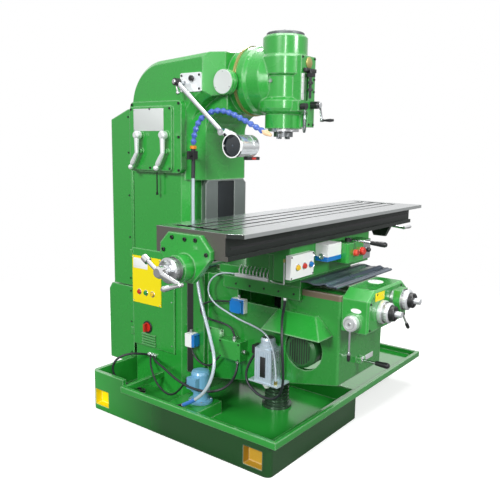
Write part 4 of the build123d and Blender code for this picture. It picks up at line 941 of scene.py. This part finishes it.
class MILL_OT_column_details(Operator):
    """Add plates, screws, way strip and door fittings to the column and its covers"""

    bl_idname = "mill.column_details"
    bl_label = "Column Details"

    def execute(self, context):
        Shape().box((-63, 342, 206), (63, 349.6, 1166), 1).piece("way_strip", "dull")
        Shape().box((-284, 498, 1408), (-281.8, 706, 1515), 0.8).piece("speed_plate", "plate")
        screws = Shape().screws(product((COVER_FACE,), (458, 592, 726), (1231, 1513)), LEFT, 5.5, 4)
        flange = ((412, 1224), (412, 1536), (732, 1536), (412, 1380))
        screws.screws([(-268, y, z) for y, z in flange], LEFT, 6.5, 5).piece("cover_screws", "iron")
        rivet = [(0, 1.4), (2.2, 1.0), (2.8, 0), (0, 0)]
        rivets = Shape().turned_at(product((-284,), (504, 700), (1414, 1509)), LEFT, rivet, 10)
        rivets.piece("plate_rivets", "steel")
        Shape().turned((-180, *NECK), LEFT, boss(57, 20, 55, 18), 48).piece("neck_boss", "green")
        Shape().turned((-199.8, *NECK), LEFT, boss(54, 2.4, 53, 1.6), 48).piece("neck_plate", "plate")
        pins = [(-202.1, y, z) for y, z in around(NECK, 46, (90, 210, 330))]
        pin = [(0, 1.6), (2.6, 1.2), (3.4, 0), (0, 0)]
        Shape().turned_at(pins, LEFT, pin, 12).piece("neck_plate_pins", "steel")
        Shape().ticks((0, 164, 1645), BACK, 161, 1.0, 9.0, 180).piece("swivel_marks", "tick")
        left, right = (230, 400, 570, 640, 860, 1080, 1300, 1480), (230, 400, 570, 640, 1060, 1480)
        screws = Shape().screws([(-COLUMN_SIDE, 800, z) for z in left], LEFT, 5, 3)
        screws.screws([(COLUMN_SIDE, 800, z) for z in right], RIGHT, 5, 3).piece("rear_cover_screws", "iron")
        Shape().box((-238, 768, 806), (-226, 783.5, 1211), 2.5).piece("column_rim", "green")
        for place, y in (("rear", 692.9), ("front", 515.9)):
            knob = Shape().turned((-311.3, y, 1243), (0, 0.541, -0.841), [
                (0, 0), (7, 1), (12.4, 6), (14, 13), (12.4, 20), (7, 25), (0, 26),
            ])
            knob.piece(f"lever_knob_{place}", "silver_paint", f"speed_lever_{place}", "cast_levers")
        Shape().box((234, 450, 380), (238, 740, 820), 1.2).piece("column_side_plate", "green")
        screws = Shape().screws(product((238,), (462, 595, 728), (392, 600, 808)), RIGHT, 5, 3)
        screws.piece("side_plate_screws", "iron")
        # painted shade: black strips behind the louvre hoods stand in for the shaded openings
        hoods, slot_shades = Shape(), Shape()
        for z in range(290, 431, 20):
            hoods.prism("X", -110, 110, [(973.6, z + 13), (982, z + 7), (982, z + 4.5), (973.6, z + 8)])
            slot_shades.box((-104, 973.4, z), (104, 974.3, z + 7))
        hoods.piece("rear_louvres", "green")
        slot_shades.piece("rear_louvre_slots", "black")
        run = [(-262, 567, 1213), (-262, 567, 1170), (-263, 566, 1135), (-262, 567, 1106)]
        drain = Shape().tube(run, 3.4)
        drain.turned((-262, 567, 1112), DOWN, boss(6, 14, 4.5, 9), 10).piece("drain_pipe", "iron")
        glands = product((-COLUMN_SIDE,), (618, 640, 662), (247,))
        nut = [(0, 5), (12.5, 5), (12.5, 0), (0, 0)]
        Shape().turned_at(glands, LEFT, nut, 6).piece("gland_nuts", "steel")

        Shape().box((-252.2, 654, 706), (-250.8, 760, 760), 0.5).piece("panel_plate", "white", "door")
        buttons = product((CONTROL_FACE,), (716, 667, 618), (582,))
        rings = Shape().turned_at(buttons, LEFT, collar(11.7, 16, 2.4, 14.8, 3.6))
        rings.piece("button_collars", "chrome", "door")
        screws = Shape().screws(product((CONTROL_FACE,), (566, 760), (530, 764)), LEFT, 3.6, 2.4)
        screws.piece("panel_screws", "steel", "door")
        surround = Shape().turned((DOOR_FACE, 661, 399), LEFT, collar(24.6, 33, 4, 31, 6), 40)
        surround.piece("switch_surround", "black", "door")
        hoods = Shape()
        for z in range(298, 355, 14):
            hoods.prism("Y", 600, 702, [(-247.2, z + 12), (-256, z + 6), (-256, z + 3.5), (-247.2, z + 6.5)])
        hoods.piece("louvre_hoods", "green", "door")
        screws = Shape().screws(product((DOOR_FACE,), (486,), (330, 560, 760)), LEFT, 4, 2.4)
        screws.piece("door_screws", "steel", "door")
        return {"FINISHED"}


class MILL_OT_head_details(Operator):
    """Add the bare disc, scale strip, screws and clamping nuts to the head"""

    bl_idname = "mill.head_details"
    bl_label = "Head Details"

    def execute(self, context):
        disc = Shape().turned((6, HEAD_FACE, 1713), FRONT, boss(25, 4, 23, 2.6), 40)
        disc.piece("head_disc", "brass", "head")
        Shape().box((-50, -126.4, 1550), (-30, -124.8, 1664), 0.4).piece("depth_scale", "white", "head")
        marks = Shape()
        for number in range(24):
            z = 1554 + 4.6 * number
            marks.box((-50 if number % 5 == 0 else -44, -126.9, z), (-33, -126.2, z + 0.9))
        marks.piece("depth_marks", "tick", "head")
        Shape().box((-40, -142, 1671), (46, -124.8, 1688), 2).piece("stop_guide", "black", "head")
        places = ((-46, 1734), (54, 1734), (54, 1644), (54, 1590), (54, 1444), (17, 1444))
        screws = Shape().screws([(x, HEAD_FACE, z) for x, z in places], FRONT, 5, 4)
        cap = [(x, y, 1850) for x, y in around((0, 0), 66, range(30, 331, 60))]
        screws.screws(cap, UP, 6, 3).piece("head_screws", "iron", "head")
        nuts = Shape()
        for x, z in around(SWIVEL, 142, (35, 145, 215, 325)):
            nuts.turned((x, 126, z), FRONT, [(0, 12), (9, 12), (10.5, 10.5), (10.5, 2), (0, 2)], 6)
            nuts.turned((x, 126, z), FRONT, [(0, 2.4), (14, 2.4), (14, -2), (0, -2)], 24)
        nuts.piece("swivel_nuts", "green", "head")
        stopper = [(0, 8), (9, 8), (10, 6), (10, -6), (0, -6)]
        Shape().turned((-97, 6, 1633), (-1, 0.06, 0), stopper, 6).piece("head_plug", "steel", "head")
        return {"FINISHED"}


class MILL_OT_lamp_details(Operator):
    """Add the lens, the switch and the bracket screws of the work lamp"""

    bl_idname = "mill.lamp_details"
    bl_label = "Lamp Details"

    def execute(self, context):
        glass = [(0, 4), (30, 3.4), (48.4, 1.6), (48.4, 0), (0, 0)]
        Shape().turned((-250, *LAMP_MIDDLE), LEFT, glass, 48).piece("lamp_lens", "lens", "lamp_head")
        bulb = Shape().turned((-253.8, *LAMP_MIDDLE), LEFT, [(0, 4), (3, 3.4), (5, 1), (5, 0), (0, 0)], 20)
        bulb.piece("lamp_bulb", "rubber", "lamp_head", "white_plastic")
        Shape().box((-160, 84, 1280), (-66, 108, 1295), 2).piece("lamp_switch_body", "black", "lamp_head")
        rocker = Shape().box((-126, 82.6, 1282), (-96, 84.6, 1292), 0.6)
        rocker.piece("lamp_switch_rocker", "red", "lamp_head")
        Shape().screws(product((-243,), (306, 416), (1600, 1662)), LEFT, 5, 4).piece("bracket_screws", "iron")
        Shape().turned((-299, 408, 1631), LEFT, boss(11, 9, 8, 6)).piece("pivot_cap", "steel", "lamp_arm")
        handle = Shape().tube([(-286, 408, 1616), (-288, 404, 1600), (-290, 396, 1582)], 4)
        handle.piece("pivot_tommy", "chrome", "lamp_arm")
        ball = Shape().turned((-290, 399, 1590), (-0.1, -0.35, -0.93), [
            (0, 0), (6, 2), (9, 8), (9, 11), (6, 17), (0, 19),
        ])
        ball.piece("pivot_ball", "steel", "lamp_arm")
        return {"FINISHED"}


class MILL_OT_coolant_details(Operator):
    """Add sleeves, bolts and the gland to the coolant line"""

    bl_idname = "mill.coolant_details"
    bl_label = "Coolant Details"

    def execute(self, context):
        sleeve = Shape().tube([(-250, 336, 1276.8), (-250.3, 336.4, 1235), (-250.8, 336.8, 1190)], 9)
        sleeve.piece("valve_sleeve", "cord")
        run = [(-433.5, 156, 196.3), (-435.4, 172, 184.7), (-437, 188.5, 174), (-439.6, 224, 153)]
        Shape().tube(run, 9.6).piece("tank_sleeve", "hose_blue")
        places = [(x, y, 140) for x, y in around(PUMP, 50, range(45, 316, 90))]
        Shape().screws(places, UP, 4.5, 5).piece("pump_bolts", "steel")
        Shape().turned((-368, 258, 245), BACK, boss(9.5, 14, 8, 11), 20).piece("pump_gland", "black")
        return {"FINISHED"}


class MILL_OT_knee_details(Operator):
    """Add plates, box screws, glands, dial marks and the lock lever to the knee"""

    bl_idname = "mill.knee_details"
    bl_label = "Knee Details"

    def execute(self, context):
        Shape().box((-206.5, 178, 340), (-203.5, 268, 470), 1).piece("knee_cover_plate", "green", "knee")
        screws = Shape().screws(product((-206.5,), (186, 260), (348, 462)), LEFT, 4, 3)
        screws.screws(product((-262,), (44, 152), (362, 436)), LEFT, 4, 2.4)
        screws.screws(product((-250,), (44, 104), (584, 638)), LEFT, 3, 2)
        screws.screws(product((-269, -241), (308,), (375, 423)), FRONT, 3, 2)
        screws.piece("knee_side_screws", "iron", "knee")
        glands = Shape().turned((-236, 162, 363), (0, 1, -0.1), boss(11, 12, 8, 8), 6)
        glands.turned((-236, 34, 398), FRONT, boss(11, 14, 8, 8), 6)
        glands.turned((-255, 345, 366), (0, -0.1, -1), boss(8, 10, 6, 7), 6)
        glands.turned((-230, 110, 626), BACK, boss(8, 10, 6, 7), 6)
        glands.piece("box_glands", "steel", "knee")
        places = (*product((-172, 172), (606, 716)), (-118, 748), (118, 748), (110, 606), (0, 606))
        screws = Shape().screws([(x, GEARBOX_FACE, z) for x, z in places], FRONT, 5, 3)
        screws.piece("gearbox_screws", "iron", "knee")
        Shape().box((-134, -571.6, 719), (-50, -569.8, 754), 0.5).piece("knee_yellow_plate", "yellow", "knee")
        plate = Shape().box((8, -450.6, 392), (120, -448.8, 416), 0.5)
        plate.piece("knee_light_plate", "silver_paint", "knee", "white_plastic")
        Shape().box((-300.6, -138, 332), (-298.6, -110, 426), 0.5).piece("pump_plate", "black", "knee")
        ribs = Shape()
        for x in range(-284, -223, 12):
            ribs.box((x - 3, -169.4, 320), (x + 3, -165, 450), 1)
        ribs.piece("pump_ribs", "steel", "knee", "pump_silver")
        filler = Shape().turned((29, -489, 766), UP, boss(34, 3, 31, 1.6), 40)
        filler.piece("gearbox_filler", "white", "knee")
        turns = [step * math.pi / 12 for step in range(24)]
        oval = [(-514 + 24 * math.cos(turn), 683 + 10 * math.sin(turn)) for turn in turns]
        Shape().prism("X", -191.4, -189.8, oval).piece("gearbox_oval", "white", "knee")
        lock = Shape().tube([(54, -611, 662), (58, -611, 642), (72, -611, 619), (104, -611, 584)], 4.5)
        lock.piece("lock_lever", "chrome", "knee")
        grip = Shape().turned((102, -611, 586), (0.675, 0, -0.738), [
            (0, 0), (5.5, 0), (8, 10), (8, 34), (5, 39), (0, 39),
        ], 20)
        grip.piece("lock_lever_grip", "black", "knee")
        hub = Shape().turned(SELECTOR, LEFT, boss(7.5, 2.2, 6, 1), 24)
        hub.turned(SELECTOR, LEFT, [(20, 0), (20, 0.9), (22.5, 0.9), (22.5, 0), (20, 0)], 40)
        hub.piece("selector_hub", "steel", "feed_selector")
        dial = Shape().ticks((-68, -570, 666), FRONT, 44, 19, 39, 100)
        dial.piece("elevating_marks", "tick", "elevating_shaft")
        Shape().ticks((38, -620, 708), FRONT, 44, 2, 22, 100).piece("cross_marks", "tick", "cross_shaft")
        # painted shade: black strips on the hood stand in for the shaded vent openings
        vent_shades = Shape()
        for offset in range(-48, 49, 12):
            half, y = math.sqrt(58 ** 2 - offset ** 2), -275 + offset
            vent_shades.box((-237, y - 2.6, 470 - half), (-235.6, y + 2.6, 470 + half))
        vent_shades.piece("motor_vents", "black", "knee")
        return {"FINISHED"}


class MILL_OT_saddle_details(Operator):
    """Add the rubber apron, oil pipe, panel screws, sight glasses and button collars to the saddle"""

    bl_idname = "mill.saddle_details"
    bl_label = "Saddle Details"

    def execute(self, context):
        self.apron()
        buttons = product((-333, -283, -233), (PANEL_FACE,), (860,))
        rings = Shape().turned_at(buttons, FRONT, collar(11.7, 15.4, 2, 14.4, 3))
        rings.piece("saddle_collars", "chrome", "saddle")
        screws = Shape().screws(product((-376, -214), (PANEL_FACE,), (820, 906)), FRONT, 3.4, 2.2)
        screws.piece("saddle_panel_screws", "iron", "saddle")
        pipe = Shape().tube([
            (-215, -87, 756), (-219, -100, 755), (-226, -118, 753), (-236, -136, 754), (-250, -152, 757),
            (-346, -255, 783), (-353, -263, 788), (-355.4, -265, 797), (-355.4, -265, 882),
        ], 3.4)
        pipe.piece("oil_pipe", "silver_paint", "saddle")
        union = Shape().turned((-355.4, -265, 878), UP, [(0, 14), (6, 14), (6, 0), (0, 0)], 6)
        union.piece("oil_union", "brass", "saddle")
        gland = Shape().turned((-216, -179.5, 691), (-0.4, -0.19, -0.9), boss(9.5, 16, 8, 13), 20)
        gland.piece("saddle_cable_gland", "silver_paint", "saddle")
        screws = Shape().screws(product((-226,), range(-230, 91, 80), (715,)), LEFT, 5, 2.6)
        screws.piece("gib_screws", "iron", "saddle")
        glass = [(0, 3), (11, 3), (11, 5), (15, 5), (16, 3), (16, 0), (0, 0)]
        places = product((-182,), (-290,), (845, 890))
        Shape().turned_at(places, FRONT, glass).piece("sight_glasses", "chrome", "saddle")
        gland = [(0, 4), (9, 4), (9, 6), (13, 6), (14, 4), (14, 0), (0, 0)]
        Shape().turned((-156, -322, 884), LEFT, gland).piece("limit_switch_gland", "chrome", "saddle")
        return {"FINISHED"}

    def fold(self, share):
        """Height of the apron's folds at a share of its reach."""
        after = next(place for place, knot in enumerate(APRON_FOLDS) if knot[0] >= share and place)
        (start, low), (end, high) = APRON_FOLDS[after - 1:after + 1]
        return low + (high - low) * (1 - math.cos(math.pi * (share - start) / (end - start))) / 2

    def apron(self):
        """A rubber sheet with a fold and a drooping front edge, laid before the saddle."""
        shape, sheets = Shape(), []
        (left, right), (rear, front) = APRON_SPAN, APRON_REACH
        across = [left + (right - left) * column / APRON_COLUMNS for column in range(APRON_COLUMNS + 1)]
        shares = [row / APRON_ROWS for row in range(APRON_ROWS + 1)]
        for level in (APRON_TOP, APRON_TOP - APRON_THICK):
            lines = [(rear + (front - rear) * share, level + self.fold(share)) for share in shares]
            sheets.append([[shape.mesh.verts.new(Vector((x, y, z)) * MM) for x in across] for y, z in lines])
        for grid in sheets:
            for here, there in zip(grid, grid[1:]):
                for column in range(APRON_COLUMNS):
                    after = column + 1
                    shape.mesh.faces.new((here[column], here[after], there[after], there[column]))
        rim = [(0, column) for column in range(APRON_COLUMNS)]
        rim += [(row, APRON_COLUMNS) for row in range(APRON_ROWS)]
        rim += [(APRON_ROWS, column) for column in range(APRON_COLUMNS, 0, -1)]
        rim += [(row, 0) for row in range(APRON_ROWS, 0, -1)]
        edge = [[grid[row][column] for grid in sheets] for row, column in rim]
        for (top, under), (next_top, next_under) in zip(edge, edge[1:] + edge[:1]):
            shape.mesh.faces.new((top, next_top, next_under, under))
        made = shape.piece("way_apron", "rubber", "saddle")
        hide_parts("rubber_apron")
        roll = Shape().tube([(-226, -436, 773.6), (37, -436, 773.6), (300, -436, 773.6)], 6)
        roll.piece("apron_roll", "rubber", "saddle")


class MILL_OT_table_details(Operator):
    """Add bracket screws, a black strip standing in for the shade in the dog groove, and dial marks to the
    table
    """

    bl_idname = "mill.table_details"
    bl_label = "Table Details"

    def execute(self, context):
        left = ((-60, 1010), (-176, 1010), (-228, 962), (-16, 960), (-124, 1008))
        right = ((-60, 990), (-188, 990), (-124, 996))
        bolts = Shape().screws([(-795, y, z) for y, z in left], LEFT, 8, 6)
        bolts.screws([(832, y, z) for y, z in right], RIGHT, 8, 6).piece("bracket_bolts", "iron", "table")
        # painted shade: a black strip on the face stands in for the shaded inside of the dog groove
        groove = Shape().box((-740, -295.2, 980), (780, -293.9, 992))
        groove.piece("dog_groove", "black", "table", "table_iron")
        dial = Shape().ticks((-845, -124, 905), LEFT, 47, 12, 36, 100)
        dial.piece("table_dial_marks", "tick", "leadscrew")
        return {"FINISHED"}


STEPS = (
    MILL_OT_finish_nodes, MILL_OT_stage, MILL_OT_lay_cords, MILL_OT_column_details, MILL_OT_head_details,
    MILL_OT_lamp_details, MILL_OT_coolant_details, MILL_OT_knee_details, MILL_OT_saddle_details,
    MILL_OT_table_details,
)


class MILL_PT_panel(Panel):
    """Steps that dress the milling machine"""

    bl_idname = "MILL_PT_panel"
    bl_label = "Milling Machine"
    bl_space_type = "VIEW_3D"
    bl_region_type = "UI"
    bl_category = "Mill"

    def draw(self, context):
        layout = self.layout
        for name in SETTINGS:
            settings = getattr(context.scene, name)
            box = layout.box()
            for key in settings.bl_rna.properties.keys():
                if key not in ("rna_type", "name"):
                    box.prop(settings, key)
        for step in STEPS:
            layout.operator(step.bl_idname)


SETTINGS = {
    "mill_paint": MillPaintSettings, "mill_detail": MillDetailSettings, "mill_stage": MillStageSettings,
}
CLASSES = (*SETTINGS.values(), *STEPS, MILL_PT_panel)


def register():
    for made in CLASSES:
        bpy.utils.register_class(made)
    for name, settings in SETTINGS.items():
        setattr(bpy.types.Scene, name, PointerProperty(type=settings))


def unregister():
    for name in SETTINGS:
        delattr(bpy.types.Scene, name)
    for made in reversed(CLASSES):
        bpy.utils.unregister_class(made)


def main():
    register()
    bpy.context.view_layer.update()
    for step in STEPS:
        group, name = step.bl_idname.split(".")
        getattr(getattr(bpy.ops, group), name)()


if __name__ == "__main__":
    main()
